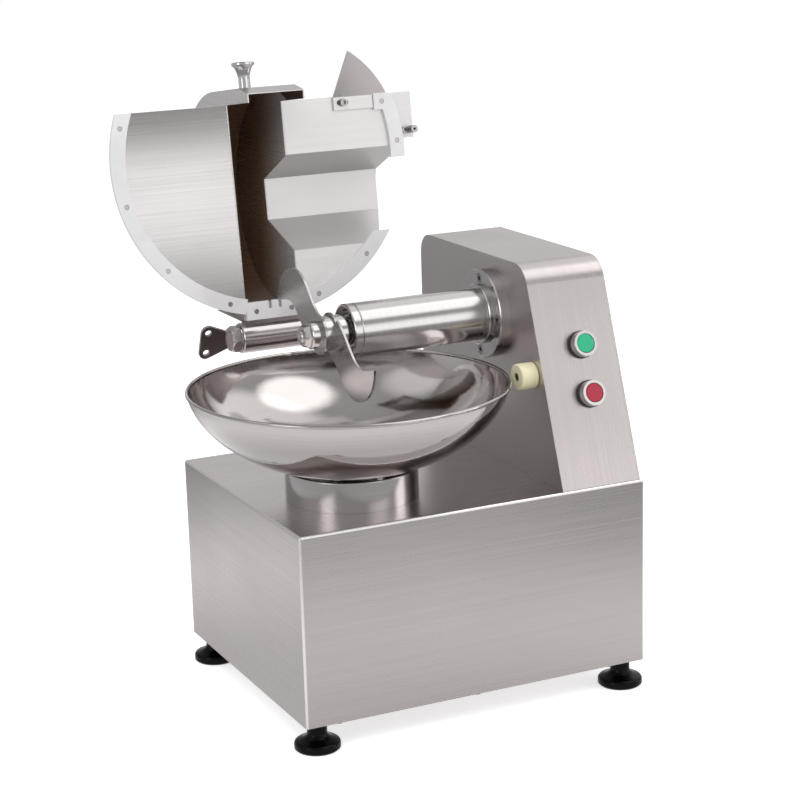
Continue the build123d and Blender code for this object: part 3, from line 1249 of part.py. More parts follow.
front_angle = degrees(asin((LID_FRONT + LID_SHIFT) / GASKET_RADIUS))
with BuildPart() as lid_gaskets:
    with BuildSketch(lid_level(0)):
        add(gasket_strip(GASKET_HEEL, 180 + front_angle + 3))
        add(gasket_strip(-front_angle - 3, GASKET_REAR_END))
        with Locations((HUMP_RIGHT, GASKET_FRONT_END)):
            Rectangle(GASKET_RADIUS, GASKET_REAR_START - GASKET_FRONT_END,
                      align=(Align.MIN, Align.MIN), mode=Mode.SUBTRACT)
        with Locations((GASKET_CORNER, -LID_FRONT)):
            Rectangle(GASKET_RADIUS - GASKET_CORNER, 18, align=(Align.MIN, Align.MIN))
        with Locations(lid_middle):
            Circle(GASKET_RADIUS, mode=Mode.INTERSECT)
        with Locations((0, -LID_FRONT)):
            Rectangle(2 * GASKET_RADIUS, 2 * GASKET_RADIUS, align=(Align.CENTER, Align.MIN),
                      mode=Mode.INTERSECT)
    extrude(amount=GASKET_THICK)
    with BuildSketch(lid_level(0)):
        with Locations((HUMP_LEFT + GAP, HEEL_BLOCK_START)):
            Rectangle(HUMP_RIGHT - HUMP_LEFT - 2 * GAP, HEEL_BLOCK_LENGTH,
                      align=(Align.MIN, Align.MIN))
    extrude(amount=GASKET_THICK)
    with BuildSketch(lid_level(GASKET_THICK)):
        with Locations((HUMP_LEFT + GAP, cover_heel(PANEL_TOP) + GAP)):
            Rectangle(HUMP_RIGHT - HUMP_LEFT - 2 * GAP,
                      HEEL_BLOCK_START + HEEL_BLOCK_LENGTH - cover_heel(PANEL_TOP) - GAP,
                      align=(Align.MIN, Align.MIN))
    extrude(amount=SHEET)
    with BuildSketch(lid_level(0)):
        with Locations((HEEL_NOTCH_X, HEEL_BLOCK_START)):
            with GridLocations(HEEL_NOTCH_PITCH, 0, 2, 1):
                Rectangle(HEEL_NOTCH_WIDTH, 2 * HEEL_NOTCH_DEPTH)
    extrude(amount=PANEL_TOP, mode=Mode.SUBTRACT)
    with BuildSketch(lid_level(0)):
        with Locations(*GASKET_SCREWS, *HINGE_PANEL_SCREWS, *HINGE_GASKET_SCREWS):
            Circle(GASKET_SCREW * 1.8)
    extrude(amount=GASKET_SCREW, mode=Mode.SUBTRACT)
    with BuildSketch(lid_level(0)):
        with Locations(*GASKET_SCREWS, *HINGE_PANEL_SCREWS, *HINGE_GASKET_SCREWS):
            Circle(GASKET_SCREW + SEAT)
    extrude(amount=PANEL_TOP, mode=Mode.SUBTRACT)
save(lid_gaskets, "lid_gaskets")

fin_lean = radians(FIN_LEAN)
fin_line = lid_frame.from_local_coords((0, FIN_ROOT - LID_FRONT, GASKET_THICK - FIN_THICK / 2))
fin_down = lid_frame.y_dir * -cos(fin_lean) - lid_frame.z_dir * sin(fin_lean)
with BuildPart() as scraper_fin:
    with BuildSketch(lid_level(GASKET_THICK - FIN_THICK)):
        with Locations((FIN_LEFT, -LID_FRONT)):
            Rectangle(FIN_FOOT, FIN_FLANGE, align=(Align.MIN, Align.MIN))
        with Locations(FIN_SCREW_PLACE):
            SlotOverall(FIN_SLOT, 2 * FIN_SCREW + 2 * SEAT, mode=Mode.SUBTRACT)
    extrude(amount=FIN_THICK)
    fin_normal = lid_frame.x_dir.cross(fin_down)
    with BuildSketch(Plane(origin=fin_line, x_dir=(1, 0, 0), z_dir=fin_normal)):
        with BuildLine():
            Polyline((FIN_RIGHT, FIN_CLEAR), (FIN_LEFT + FIN_FOOT, FIN_CLEAR),
                     (FIN_LEFT + FIN_FOOT, 0), (FIN_LEFT, 0), (FIN_TIP, FIN_LENGTH))
            ThreePointArc((FIN_TIP, FIN_LENGTH), (FIN_BELLY, FIN_LENGTH * 0.57),
                          (FIN_RIGHT, FIN_CLEAR))
        make_face()
    extrude(amount=FIN_SHEET / 2, both=True)
save(scraper_fin, "scraper_fin")

with BuildPart() as interlock_plate:
    with BuildSketch(lid_level(INTERLOCK_RISE)):
        with Locations((INTERLOCK_LEFT, -LID_FRONT)):
            Rectangle(INTERLOCK_RIGHT - INTERLOCK_LEFT, INTERLOCK_INNER,
                      align=(Align.MIN, Align.MIN))
        with Locations((INTERLOCK_RIGHT, -LID_FRONT)):
            Rectangle(INTERLOCK_RIGHT - LID_RADIUS - 1, INTERLOCK_LENGTH,
                      align=(Align.MAX, Align.MIN))
        with Locations(INTERLOCK_SCREW_PLACE):
            Circle(INTERLOCK_SCREW + SEAT, mode=Mode.SUBTRACT)
    extrude(amount=INTERLOCK_THICK)
    with BuildSketch(lid_level(PANEL_TOP)):
        with Locations(lid_middle):
            Circle(LID_RADIUS - 1)
        with Locations((INTERLOCK_LEFT, -LID_FRONT)):
            Rectangle(INTERLOCK_RIGHT - INTERLOCK_LEFT, INTERLOCK_INNER,
                      align=(Align.MIN, Align.MIN), mode=Mode.INTERSECT)
        with Locations(*RIGHT_SCREWS):
            Circle(GASKET_SCREW * 2.4, mode=Mode.SUBTRACT)
    extrude(amount=INTERLOCK_RISE - PANEL_TOP)
save(interlock_plate, "interlock_plate")


def lid_screw_set(places, grip):
    """Gasket screws with sunk heads, long enough to grip a stack that ends at a height."""
    with BuildPart() as screws:
        with BuildSketch(lid_level(GASKET_SCREW)):
            with Locations(*places):
                Circle(GASKET_SCREW * 1.8 - SEAT)
        extrude(amount=-GASKET_SCREW * 0.7)
        with BuildSketch(lid_level(GASKET_SCREW)):
            with Locations(*places):
                Circle(GASKET_SCREW)
        extrude(amount=grip - GASKET_SCREW + SCREW_STAND)
    return screws


HINGE_TOP = PANEL_TOP + HINGE_THICK
fin_screw_face = lid_level(GASKET_THICK - FIN_THICK).rotated((180, 0, 0))
interlock_face = lid_level(INTERLOCK_RISE).rotated((180, 0, 0))
with BuildPart() as lid_screws:
    add(lid_screw_set(GASKET_SCREWS, PANEL_TOP).part)
    add(lid_screw_set(HINGE_PANEL_SCREWS + HINGE_GASKET_SCREWS, HINGE_TOP).part)
    add(socket_screw(fin_screw_face, [(FIN_SCREW_PLACE[0], -FIN_SCREW_PLACE[1])], FIN_SCREW,
                     FIN_THICK + SHEET + SCREW_STAND).part)
    add(socket_screw(interlock_face, [(INTERLOCK_SCREW_PLACE[0], -INTERLOCK_SCREW_PLACE[1])],
                     INTERLOCK_SCREW, INTERLOCK_THICK + SCREW_STAND).part)
    with BuildSketch(lid_level(INTERLOCK_RISE)):
        with Locations((INTERLOCK_PLUG_X, INTERLOCK_SCREW_PLACE[1])):
            Circle(INTERLOCK_PLUG)
            Circle(INTERLOCK_PLUG / 3, mode=Mode.SUBTRACT)
    extrude(amount=-INTERLOCK_PLUG_LENGTH)
save(lid_screws, "lid_screws")

# ---------------------------------------------------------------- buttons

with BuildPart() as button_bezels:
    for button_place in (START_BUTTON, STOP_BUTTON):
        with BuildSketch(slope_plane(button_place, BUTTON_GASKET)):
            Circle(BUTTON_RING)
        extrude(amount=BUTTON_RING_HEIGHT, taper=4)
        with BuildSketch(slope_plane(button_place, BUTTON_GASKET)):
            Circle(BUTTON_HOLE - SEAT)
        extrude(amount=-BUTTON_BARREL)
        with BuildSketch(slope_plane(button_place, BUTTON_GASKET)):
            Circle(BUTTON_CAP + GAP)
        extrude(amount=BUTTON_RING_HEIGHT, mode=Mode.SUBTRACT)
        with BuildSketch(slope_plane(button_place, BUTTON_GASKET)):
            Circle(BUTTON_STEM + GAP)
        extrude(amount=-BUTTON_BARREL, mode=Mode.SUBTRACT)
save(button_bezels, "button_bezels")

with BuildPart() as button_gaskets:
    for button_place in (START_BUTTON, STOP_BUTTON):
        add(tube(slope_plane(button_place), BUTTON_BASE, BUTTON_HOLE, BUTTON_GASKET).part)
save(button_gaskets, "button_gaskets")

with BuildPart() as contact_blocks:
    for button_place in (START_BUTTON, STOP_BUTTON):
        with BuildSketch(slope_plane(button_place, BUTTON_GASKET - BUTTON_BARREL)):
            RectangleRounded(*CONTACT_SIZE, 2)
        extrude(amount=-CONTACT_DEPTH)
save(contact_blocks, "contact_blocks")


def button_cap(distance):
    """Lens of a pushbutton with its plunger."""
    with BuildPart() as cap:
        with BuildSketch(slope_plane(distance, BUTTON_GASKET + BUTTON_TRAVEL + GAP)):
            Circle(BUTTON_CAP)
        extrude(amount=BUTTON_RING_HEIGHT - BUTTON_TRAVEL)
        fillet(cap.edges().filter_by(GeomType.CIRCLE).sort_by(Axis.Y)[0], 1.2)
        with BuildSketch(slope_plane(distance, BUTTON_GASKET + BUTTON_TRAVEL + GAP)):
            Circle(BUTTON_STEM)
        extrude(amount=-BUTTON_BARREL + GAP)
    return cap


save(button_cap(START_BUTTON), "start_button")
save(button_cap(STOP_BUTTON), "stop_button")
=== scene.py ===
from math import cos, radians, sin

import bpy
from mathutils import Matrix, Vector

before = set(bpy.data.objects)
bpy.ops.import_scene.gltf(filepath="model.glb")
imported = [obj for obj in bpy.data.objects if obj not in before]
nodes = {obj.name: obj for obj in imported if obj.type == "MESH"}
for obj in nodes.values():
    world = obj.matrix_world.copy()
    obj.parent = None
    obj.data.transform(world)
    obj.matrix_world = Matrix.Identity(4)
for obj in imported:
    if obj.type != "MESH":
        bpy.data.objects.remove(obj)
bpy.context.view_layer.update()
scene = bpy.context.scene


# ---------------------------------------------------------------- camera
# Solved from the base's corners, the bowl's rim and the spindle tube in the photograph.

CAMERA_AROUND = -25.214    # degrees from the front toward the motor head
CAMERA_ABOVE = 14.289
CAMERA_ROLL = -1.634
CAMERA_PLACE = (-0.97825, -2.06184, 0.89434)
PHOTO_WIDTH = 800          # pixels
FOCAL_LENGTH = 2168.17     # pixels
SENSOR_WIDTH = 36          # mm


def direction(around, above):
    """Unit vector at an angle round from the front and an angle up, both in degrees."""
    turn, lift = radians(around), radians(above)
    return Vector((sin(turn) * cos(lift), -cos(turn) * cos(lift), sin(lift)))


back = direction(CAMERA_AROUND, CAMERA_ABOVE)
level_right = (-back).cross(Vector((0, 0, 1))).normalized()
level_up = level_right.cross(-back)
roll = radians(CAMERA_ROLL)
camera_right = level_right * cos(roll) + level_up * sin(roll)
camera_up = level_up * cos(roll) - level_right * sin(roll)
camera = bpy.data.objects.new("camera", bpy.data.cameras.new("camera"))
scene.collection.objects.link(camera)
place = Matrix((camera_right, camera_up, back)).transposed().to_4x4()
place.translation = Vector(CAMERA_PLACE)
camera.matrix_world = place
camera.data.sensor_width = SENSOR_WIDTH
camera.data.lens = FOCAL_LENGTH / PHOTO_WIDTH * SENSOR_WIDTH
camera.data.clip_start = 0.05
camera.data.clip_end = 60
scene.camera = camera


# ---------------------------------------------------------------- node helpers

class Nodes:
    """Short calls that add shader nodes to a tree. Inputs are sockets or plain values."""

    def __init__(self, tree):
        self.tree = tree

    def add(self, kind, inputs=None, **settings):
        node = self.tree.nodes.new(kind)
        for key, value in settings.items():
            setattr(node, key, value)
        for key, value in (inputs or {}).items():
            if isinstance(value, bpy.types.NodeSocket):
                self.tree.links.new(value, node.inputs[key])
            else:
                node.inputs[key].default_value = value
        return node

    def math(self, operation, a, b=0.0):
        return self.add("ShaderNodeMath", {0: a, 1: b}, operation=operation).outputs[0]

    def vector(self, operation, a, b=(0.0, 0.0, 0.0)):
        return self.add("ShaderNodeVectorMath", {0: a, 1: b}, operation=operation).outputs[0]

    def length(self, a):
        return self.add("ShaderNodeVectorMath", {0: a}, operation="LENGTH").outputs["Value"]

    def dot(self, a, b):
        node = self.add("ShaderNodeVectorMath", {0: a, 1: b}, operation="DOT_PRODUCT")
        return node.outputs["Value"]

    def split(self, a):
        """The X, Y and Z of a vector."""
        return self.add("ShaderNodeSeparateXYZ", {0: a}).outputs

    def remap(self, value, low, high, start=0.0, end=1.0, shape="LINEAR"):
        """Low at the start value and high at the end value, held beyond them."""
        node = self.add("ShaderNodeMapRange", {"Value": value, "From Min": start, "From Max": end,
                                               "To Min": low, "To Max": high},
                        interpolation_type=shape)
        return node.outputs["Result"]

    def ramp(self, value, stops):
        node = self.add("ShaderNodeValToRGB", {"Fac": value})
        elements = node.color_ramp.elements
        while len(elements) < len(stops):
            elements.new(0.5)
        for element, (position, colour) in zip(elements, stops):
            element.position = position
            element.color = (*colour, 1)
        return node.outputs["Color"]

    def mix(self, share, a, b):
        """Colour a, or b where the share is 1."""
        a, b = ((*c, 1) if isinstance(c, tuple) else c for c in (a, b))
        node = self.add("ShaderNodeMix", data_type="RGBA")
        for socket, value in zip((node.inputs[0], node.inputs[6], node.inputs[7]), (share, a, b)):
            if isinstance(value, bpy.types.NodeSocket):
                self.tree.links.new(value, socket)
            else:
                socket.default_value = value
        return node.outputs[2]


class Shader(Nodes):
    """A material with one Principled shader."""

    def __init__(self, name, **values):
        self.material = bpy.data.materials.new(name)
        self.material.use_nodes = True
        super().__init__(self.material.node_tree)
        self.bsdf = self.tree.nodes["Principled BSDF"]
        for socket, value in values.items():
            self.bsdf.inputs[socket.replace("_", " ")].default_value = value

    def feed(self, socket, value):
        self.tree.links.new(value, self.bsdf.inputs[socket])

    def coords(self):
        return self.add("ShaderNodeTexCoord").outputs["Object"]

    def noise(self, coords, scale, detail, rough):
        node = self.add("ShaderNodeTexNoise", {"Vector": coords, "Scale": scale,
                                               "Detail": detail, "Roughness": rough})
        return node.outputs["Fac"]

    def bump(self, height, strength, distance, under):
        node = self.add("ShaderNodeBump", {"Height": height, "Strength": strength,
                                           "Distance": distance, "Normal": under})
        return node.outputs["Normal"]

    def rounded(self, radius):
        """Normals that round off the edges."""
        return self.add("ShaderNodeBevel", {"Radius": radius}, samples=4).outputs["Normal"]

    def shades(self, value, start, end, colour, spread):
        """A colour that a noise value darkens and lightens by a share of itself."""
        dark = tuple(c * (1 - spread) for c in colour)
        light = tuple(min(1.0, c * (1 + spread)) for c in colour)
        return self.ramp(value, [(start, dark), (end, light)])

    def around(self, value, middle, spread):
        """A number that a noise value moves about its middle."""
        return self.remap(value, middle - spread, middle + spread, NOISE_LOW, NOISE_HIGH)


# ---------------------------------------------------------------- kinds of finish

SHEET_EDGE = 0.0006        # metres by which edges look rounded
TURNED_EDGE = 0.0005
SHEET_WAVE = 0.004         # height of the slow waves in sheet metal
SCRATCH_HEIGHT = 0.00004
RING_HEIGHT = 0.00003
PEBBLE_HEIGHT = 0.00005
BAND_SQUEEZE = (0.22, 0.22, 0.22)   # broad bands in the brushing, against its fine streaks
LEVEL_FACE = 0.75          # upward part of the normal above which a face counts as level
NOISE_LOW, NOISE_HIGH = 0.3, 0.7    # where most values of a noise lie
RING_LOW, RING_HIGH = 0.35, 0.65
X, Z = 0, 2                # axes of turned pieces


def grain_coords(s, upright, flat):
    """Object coordinates squeezed along the grain, with another squeeze on level faces."""
    where = s.add("ShaderNodeTexCoord")
    walls = s.vector("MULTIPLY", where.outputs["Object"], upright)
    tops = s.vector("MULTIPLY", where.outputs["Object"], flat)
    facing = s.split(where.outputs["Normal"])["Z"]
    level = s.math("GREATER_THAN", s.math("ABSOLUTE", facing), LEVEL_FACE)
    mixed = s.add("ShaderNodeMix", {0: level, 4: walls, 5: tops}, data_type="VECTOR")
    return mixed.outputs[1]


def brushed(name, colour, rough, grain, streak=0.05, bump=0.05, metal=1.0, dress=None, bow=None):
    """Brushed sheet: fine streaks along the grain, and slow waves in the sheet.

    The grain is a squeeze for upright faces and one for level faces. A dress changes the
    colour by place. A bow is a height and a strength: the sheet curves slightly away from
    that height.
    """
    s = Shader(name, Metallic=metal)
    squeezed = grain_coords(s, *grain)
    fine = s.noise(squeezed, scale=1.0, detail=3.0, rough=0.7)
    broad = s.vector("MULTIPLY", squeezed, BAND_SQUEEZE)
    bands = s.noise(broad, scale=1.0, detail=2.0, rough=0.6)
    cloud = s.noise(s.coords(), scale=7.0, detail=2.0, rough=0.5)
    streaks = s.math("ADD", s.math("MULTIPLY", fine, 0.5), s.math("MULTIPLY", bands, 0.5))
    tint = s.shades(streaks, NOISE_LOW, NOISE_HIGH, colour, streak)
    s.feed("Base Color", dress(s, tint) if dress else tint)
    s.feed("Roughness", s.math("ADD", s.around(fine, rough, 0.05), s.around(cloud, 0.0, 0.03)))
    slow = s.noise(s.coords(), scale=4.0, detail=1.0, rough=0.4)
    surface = s.bump(slow, 1.0, SHEET_WAVE, s.rounded(SHEET_EDGE))
    if bow:
        height, strength = bow
        away = s.math("SUBTRACT", s.split(s.coords())["Z"], height)
        surface = s.bump(s.math("MULTIPLY", away, away), 1.0, strength, surface)
    s.feed("Normal", s.bump(fine, bump, SCRATCH_HEIGHT, surface))
    return s.material


def turned(name, colour, rough, axis, centre, pitch, streak=0.04, bump=0.05):
    """Lathe-turned or spun metal, with faint rings about an axis through a centre."""
    s = Shader(name, Metallic=1.0)
    along = tuple(float(i == axis) for i in range(3))
    across = tuple(1.0 - share for share in along)
    where = s.vector("SUBTRACT", s.coords(), centre)
    radius = s.length(s.vector("MULTIPLY", where, across))
    depth = s.dot(where, along)
    line = s.add("ShaderNodeCombineXYZ", {0: s.math("MULTIPLY", radius, pitch),
                                          1: s.math("MULTIPLY", depth, pitch)}).outputs[0]
    rings = s.noise(line, scale=1.0, detail=3.0, rough=0.6)
    cloud = s.noise(s.coords(), scale=14.0, detail=3.0, rough=0.6)
    s.feed("Base Color", s.shades(rings, RING_LOW, RING_HIGH, colour, streak))
    s.feed("Roughness", s.math("ADD", s.around(rings, rough, 0.15 * rough),
                               s.around(cloud, 0.0, 0.015)))
    s.feed("Normal", s.bump(rings, bump, RING_HEIGHT, s.rounded(TURNED_EDGE)))
    return s.material


def moulded(name, colour, rough, grain=900.0, bump=0.08, coat=0.0, **values):
    """Moulded plastic, rubber or casting with a fine pebbled surface and faint clouding."""
    s = Shader(name, Coat_Weight=coat, Coat_Roughness=0.12, **values)
    pebble = s.noise(s.coords(), scale=grain, detail=2.0, rough=0.5)
    cloud = s.noise(s.coords(), scale=22.0, detail=3.0, rough=0.6)
    s.feed("Base Color", s.shades(cloud, NOISE_LOW, NOISE_HIGH, colour, spread=0.05))
    s.feed("Roughness", s.around(pebble, rough, 0.05))
    s.feed("Normal", s.bump(pebble, bump, PEBBLE_HEIGHT, s.rounded(SHEET_EDGE)))
    return s.material


# ---------------------------------------------------------------- materials

KNIFE_AXIS = (0.0, -0.0043, 0.399)
PIVOT_AXIS = (0.0, 0.1472, 0.3698)
BOWL_CENTRE = (-0.0924, -0.0557, 0.0)
COVER_CENTRE = (-0.0944, 0.1963, 0.5161)     # on the knife cover's axis, with the lid open
COVER_HALF_WIDTH = 0.0322                    # to the middle of its sheet
COVER_RADIUS = 0.1212
COVER_MOUTH, COVER_BOTTOM = -0.035, 0.055    # along Y from its centre: where the painted shade inside starts and where it is darkest
INSIDE_METAL = 0.2                           # the dull inside hardly mirrors
FLAT_FACE, FOLD_FACE = 0.995, 0.93           # largest part of the normal on a face and a fold, between which the painted fold highlight fades in

STEEL = (0.61, 0.565, 0.557)
LID_STEEL = (0.63, 0.605, 0.605)
PALE_STEEL = (0.73, 0.71, 0.705)
BRIGHT_STEEL = (0.66, 0.645, 0.64)
DULL_INSIDE = (0.44, 0.42, 0.41)
# painted shade deep inside the knife cover
DEEP_PAINTED_SHADE = (0.25, 0.155, 0.10)
# painted highlight on the base's folds
PAINTED_FOLD_HIGHLIGHT = (1.0, 0.99, 0.99)

# Grains, each as a squeeze of the coordinates for upright faces and one for level faces.
ALONG_X = ((4.0, 4.0, 900.0), (4.0, 900.0, 4.0))
UP_THE_SLOPE = ((900.0, 4.0, 4.0), (900.0, 4.0, 4.0))
UP_THE_SIDE = ((4.0, 900.0, 4.0), (4.0, 900.0, 4.0))
ALONG_BLADE = ((4.0, 60.0, 900.0), (4.0, 900.0, 4.0))


def inside_cover_with_painted_shade(s, tint):
    """Dull mill finish inside the knife cover, with painted shade that darkens it the deeper it
    lies.
    """
    where = s.vector("SUBTRACT", s.coords(), COVER_CENTRE)
    part = s.split(where)
    between = s.math("LESS_THAN", s.math("ABSOLUTE", part["X"]), COVER_HALF_WIDTH)
    radius = s.length(s.vector("MULTIPLY", where, (0.0, 1.0, 1.0)))
    within = s.math("LESS_THAN", radius, COVER_RADIUS)
    hidden = s.math("MULTIPLY", between, within)
    s.feed("Metallic", s.remap(hidden, 1.0, INSIDE_METAL))
    # painted shade: darker from the cover's mouth toward its bottom
    depth = s.remap(part["Y"], 0.0, 1.0, COVER_MOUTH, COVER_BOTTOM)
    return s.mix(hidden, tint, s.mix(depth, DULL_INSIDE, DEEP_PAINTED_SHADE))


def painted_fold_highlight(s, tint):
    """A painted highlight: a bright line on the folds of a box-shaped casing, which face along no
    axis.
    """
    facing = s.split(s.vector("ABSOLUTE", s.add("ShaderNodeNewGeometry").outputs["Normal"]))
    squarest = s.math("MAXIMUM", facing["X"], s.math("MAXIMUM", facing["Y"], facing["Z"]))
    # painted highlight: near white where the normal faces along no axis
    return s.mix(s.remap(squarest, 1.0, 0.0, FOLD_FACE, FLAT_FACE), tint, PAINTED_FOLD_HIGHLIGHT)


base_steel = brushed("base_steel", STEEL, 0.30, ALONG_X, dress=painted_fold_highlight)
head_steel = brushed("head_steel", STEEL, 0.30, UP_THE_SLOPE)
side_steel = brushed("side_steel", STEEL, 0.30, UP_THE_SIDE)
lid_steel = brushed("lid_steel", PALE_STEEL, 0.34, ALONG_X, streak=0.015, bump=0.03, metal=0.65)
bowed_steel = brushed("bowed_steel", LID_STEEL, 0.25, ALONG_X, streak=0.012, bump=0.014,
                      bow=(0.540, 1.2))
cover_steel = brushed("cover_steel", LID_STEEL, 0.28, ALONG_X, streak=0.03, dress=inside_cover_with_painted_shade)
knife_steel = brushed("knife_steel", (0.50, 0.48, 0.475), 0.24, ALONG_BLADE, streak=0.04)
tube_steel = turned("tube_steel", LID_STEEL, 0.17, X, KNIFE_AXIS, pitch=1600.0)
pivot_steel = turned("pivot_steel", STEEL, 0.20, X, PIVOT_AXIS, pitch=1600.0)
knob_steel = turned("knob_steel", BRIGHT_STEEL, 0.14, X, PIVOT_AXIS, pitch=1200.0)
screw_steel = turned("screw_steel", (0.42, 0.41, 0.41), 0.25, X, KNIFE_AXIS, pitch=2500.0)
bowl_steel = turned("bowl_steel", (0.62, 0.58, 0.565), 0.09, Z, BOWL_CENTRE, pitch=500.0,
                    streak=0.02, bump=0.02)
pedestal_steel = turned("pedestal_steel", LID_STEEL, 0.18, Z, BOWL_CENTRE, pitch=1400.0)
chrome = turned("bezel_chrome", (0.66, 0.645, 0.63), 0.14, X, KNIFE_AXIS, pitch=900.0,
                streak=0.02, bump=0.02)
bronze = turned("bronze", (0.55, 0.38, 0.18), 0.28, X, PIVOT_AXIS, pitch=1600.0)
alloy = moulded("cast_alloy", (0.55, 0.56, 0.57), 0.45, grain=600.0, bump=0.35, Metallic=1.0)
iron = moulded("machined_iron", (0.26, 0.265, 0.27), 0.42, grain=500.0, bump=0.30, Metallic=1.0)
enamel = moulded("grey_enamel", (0.28, 0.31, 0.35), 0.32, grain=300.0, bump=0.10, coat=0.4)
foot_rubber = moulded("foot_rubber", (0.001, 0.001, 0.0012), 0.22, grain=500.0, bump=0.04,
                      Specular_IOR_Level=0.16)
black_rubber = moulded("black_rubber", (0.025, 0.025, 0.026), 0.55, grain=700.0, bump=0.12)
black_plastic = moulded("black_plastic", (0.02, 0.02, 0.021), 0.40)
grey_plastic = moulded("grey_plastic", (0.45, 0.46, 0.47), 0.45)
white_plastic = moulded("white_acetal", (0.80, 0.79, 0.80), 0.42, grain=1200.0, bump=0.05)
pale_plastic = moulded("pale_nylon", (0.78, 0.74, 0.50), 0.40, bump=0.05,
                       Subsurface_Weight=0.15, Subsurface_Scale=0.004)
green_lens = moulded("green_lens", (0.008, 0.45, 0.22), 0.14, grain=400.0, bump=0.03, coat=0.3)
red_lens = moulded("red_lens", (0.40, 0.006, 0.032), 0.14, grain=400.0, bump=0.03, coat=0.3)

DRESS = {
    base_steel: "base_housing bottom_plate",
    head_steel: "head_housing",
    side_steel: "head_side_cover",
    lid_steel: "lid_right_panel interlock_plate scraper_fin",
    bowed_steel: "lid_left_panel",
    cover_steel: "knife_cover",
    tube_steel: "spindle_housing bearing_cap back_collar front_spacer knife_spacer knife_nut "
                "knife_shaft worm_shaft motor_rotor spindle_bearings",
    pivot_steel: "lid_hinge pivot_shaft pivot_collar pivot_washer pivot_nut wing_plate",
    bowl_steel: "bowl",
    pedestal_steel: "pedestal turntable bowl_shaft turntable_screw bowl_bearing",
    knife_steel: "rear_knife front_knife",
    screw_steel: "base_fasteners head_screws pedestal_screws flange_screws cap_screws lid_screws",
    knob_steel: "knob",
    chrome: "button_bezels",
    bronze: "pivot_bushes",
    alloy: "motor_body",
    iron: "gearbox_casing motor_pulley worm_pulley knife_pulley",
    enamel: "motor_fan_cover",
    foot_rubber: "feet",
    black_rubber: "shaft_seal button_gaskets knife_belt bowl_belt",
    black_plastic: "cable_gland contact_blocks",
    grey_plastic: "control_box",
    white_plastic: "lid_gaskets",
    pale_plastic: "rest_bush",
    green_lens: "start_button",
    red_lens: "stop_button",
}
for material, names in DRESS.items():
    for name in names.split():
        mesh = nodes[name].data
        mesh.materials.clear()
        mesh.materials.append(material)


# ---------------------------------------------------------------- lamps

LAMP_AIM = Vector((0, 0, 0.3))


def area_lamp(name, where, size, power):
    """A soft lamp that lights the object; only the studio's walls show in the steel."""
    lamp = bpy.data.lights.new(name, "AREA")
    lamp.shape = "RECTANGLE"
    lamp.size, lamp.size_y = size
    lamp.energy = power
    holder = bpy.data.objects.new(name, lamp)
    scene.collection.objects.link(holder)
    holder.location = where
    holder.rotation_euler = (LAMP_AIM - Vector(where)).to_track_quat("-Z", "Y").to_euler()
    holder.visible_glossy = False


area_lamp("key", (-1.4, -1.6, 2.2), size=(1.4, 1.4), power=26)
area_lamp("fill", (1.9, -1.2, 1.5), size=(1.2, 1.6), power=12)
area_lamp("top", (0.1, 0.3, 2.4), size=(1.6, 1.2), power=14)


# ---------------------------------------------------------------- studio walls

WALL_LEVELS = [(0.0, 0.55), (0.30, 0.50), (0.60, 0.42), (0.90, 0.35), (1.0, 0.42)]
DIFFUSE_LEVEL = (0.62, 0.62, 0.62)     # what lights matt surfaces
WHITE = (1.0, 1.0, 1.0)


class Room(Nodes):
    """The studio seen in the steel: a level for each height, and soft boxes by direction."""

    def __init__(self, tree, levels):
        super().__init__(tree)
        self.toward = self.add("ShaderNodeTexCoord").outputs["Generated"]
        height = self.split(self.toward)["Z"]
        self.total = self.ramp(height, [(stop, (level,) * 3) for stop, level in levels])

    def light(self, level):
        self.total = self.vector("ADD", self.total, level)

    def box(self, around, above, inner, outer, gain):
        """A round soft box: its direction and its half angles, in degrees."""
        near = self.dot(self.toward, direction(around, above))
        self.light(self.remap(near, 0.0, gain, cos(radians(outer)), cos(radians(inner)),
                              "SMOOTHSTEP"))

    def window(self, around, above, half_width, half_height, soft, gain):
        """A rectangular soft box with upright sides, all sizes in degrees."""
        axis = direction(around, above)
        sideways = direction(around + 90, 0)
        level = gain
        for way, half in ((sideways, half_width), (sideways.cross(axis), half_height)):
            off = self.math("ABSOLUTE", self.dot(self.toward, way))
            level = self.remap(off, 0.0, level, sin(radians(half + soft)),
                               sin(radians(half - soft)), "SMOOTHSTEP")
        ahead = self.math("GREATER_THAN", self.dot(self.toward, axis))
        self.light(self.math("MULTIPLY", level, ahead))


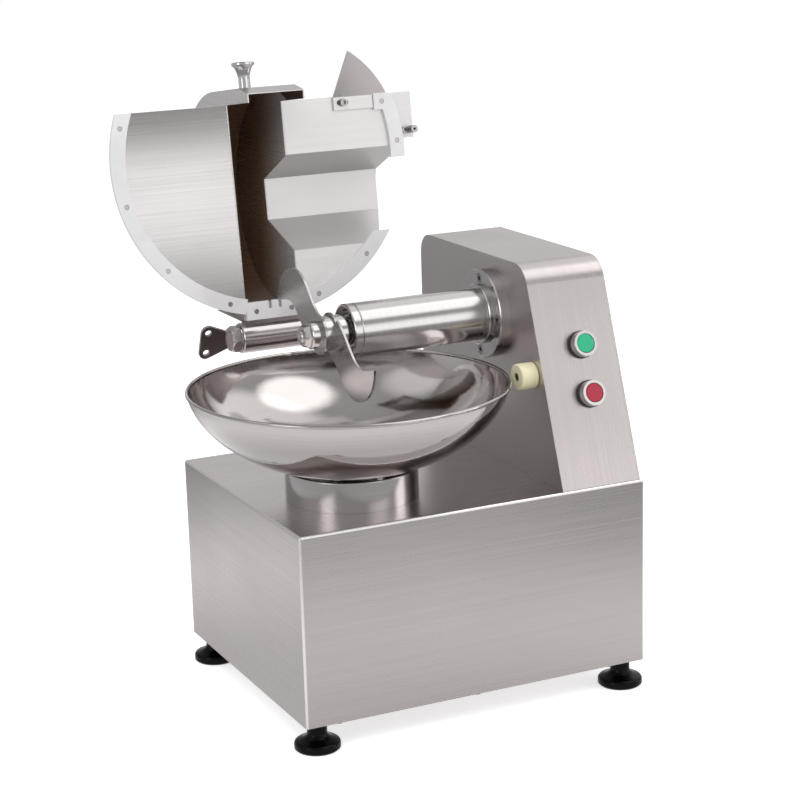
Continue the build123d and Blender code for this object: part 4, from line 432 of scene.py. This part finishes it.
world = bpy.data.worlds.new("studio")
scene.world = world
world.use_nodes = True
room = Room(world.node_tree, WALL_LEVELS)
room.box(24, 6, inner=9, outer=25, gain=0.90)       # shows in the lid's upright faces
room.box(54, 61, inner=15, outer=25, gain=1.25)     # in the channel's slopes and the hinge sleeve
room.box(114, 44, inner=18, outer=32, gain=0.60)    # in the bowl's left half
room.box(-95, 50, inner=10, outer=24, gain=0.40)    # in the bowl's right half
room.box(-67, 12, inner=8, outer=16, gain=1.6)      # in the front fold of the base's top
room.box(157, 13, inner=8, outer=30, gain=0.22)     # in the tops of head, cover and base
room.box(-153, 14, inner=15, outer=42, gain=-0.13)  # a dark corner, in the head's left side
room.window(67, 15, half_width=10, half_height=9, soft=2, gain=2.6)    # in pedestal and bowl
ray = room.add("ShaderNodeLightPath").outputs
shown = room.mix(ray["Is Glossy Ray"], DIFFUSE_LEVEL, room.total)
seen = room.mix(ray["Is Camera Ray"], shown, WHITE)
world.node_tree.links.new(seen, world.node_tree.nodes["Background"].inputs["Color"])


# ---------------------------------------------------------------- floor

FLOOR_HALF = 9.0
PAPER_LEVEL = 0.80
CAMERA_GLOW = 0.60                     # brings the paper up to white for the camera
POOL_CENTRE = (-0.05, 0.02, 0.0)       # middle of the painted pool of light on the floor, seen in the steel

corners = [(x * FLOOR_HALF, y * FLOOR_HALF, 0) for x, y in ((-1, -1), (1, -1), (1, 1), (-1, 1))]
floor_mesh = bpy.data.meshes.new("floor")
floor_mesh.from_pydata(corners, [], [(0, 1, 2, 3)])
floor = bpy.data.objects.new("floor", floor_mesh)
scene.collection.objects.link(floor)

paper = Shader("paper", Roughness=0.9, Specular_IOR_Level=0.0,
               Base_Color=(PAPER_LEVEL,) * 3 + (1,), Emission_Color=WHITE + (1,))
path = paper.add("ShaderNodeLightPath").outputs
paper.feed("Emission Strength", paper.math("MULTIPLY", path["Is Camera Ray"], CAMERA_GLOW))
# For glossy rays the floor is an emission: a painted pool of light, darker by the base as painted
# shadow.
far = paper.length(paper.vector("SUBTRACT", paper.coords(), POOL_CENTRE))
# painted shadow: the floor seen in the steel is darker near the base and feet
painted_shadow_by_feet = paper.remap(far, low=0.64, high=0.90, start=0.26, end=0.50)
fade = paper.remap(far, low=0.0, high=0.57, start=0.60, end=1.0)
horizon = paper.remap(far, low=0.0, high=0.40, start=2.5, end=6.0)
level = paper.math("ADD", paper.math("SUBTRACT", painted_shadow_by_feet, fade), horizon)
pool = paper.add("ShaderNodeEmission", {"Strength": level}).outputs[0]
either = paper.add("ShaderNodeMixShader", {0: path["Is Glossy Ray"],
                                           1: paper.bsdf.outputs[0], 2: pool}).outputs[0]
paper.tree.links.new(either, paper.tree.nodes["Material Output"].inputs[0])
floor_mesh.materials.append(paper.material)


# ---------------------------------------------------------------- finish

scene.view_settings.view_transform = "Standard"
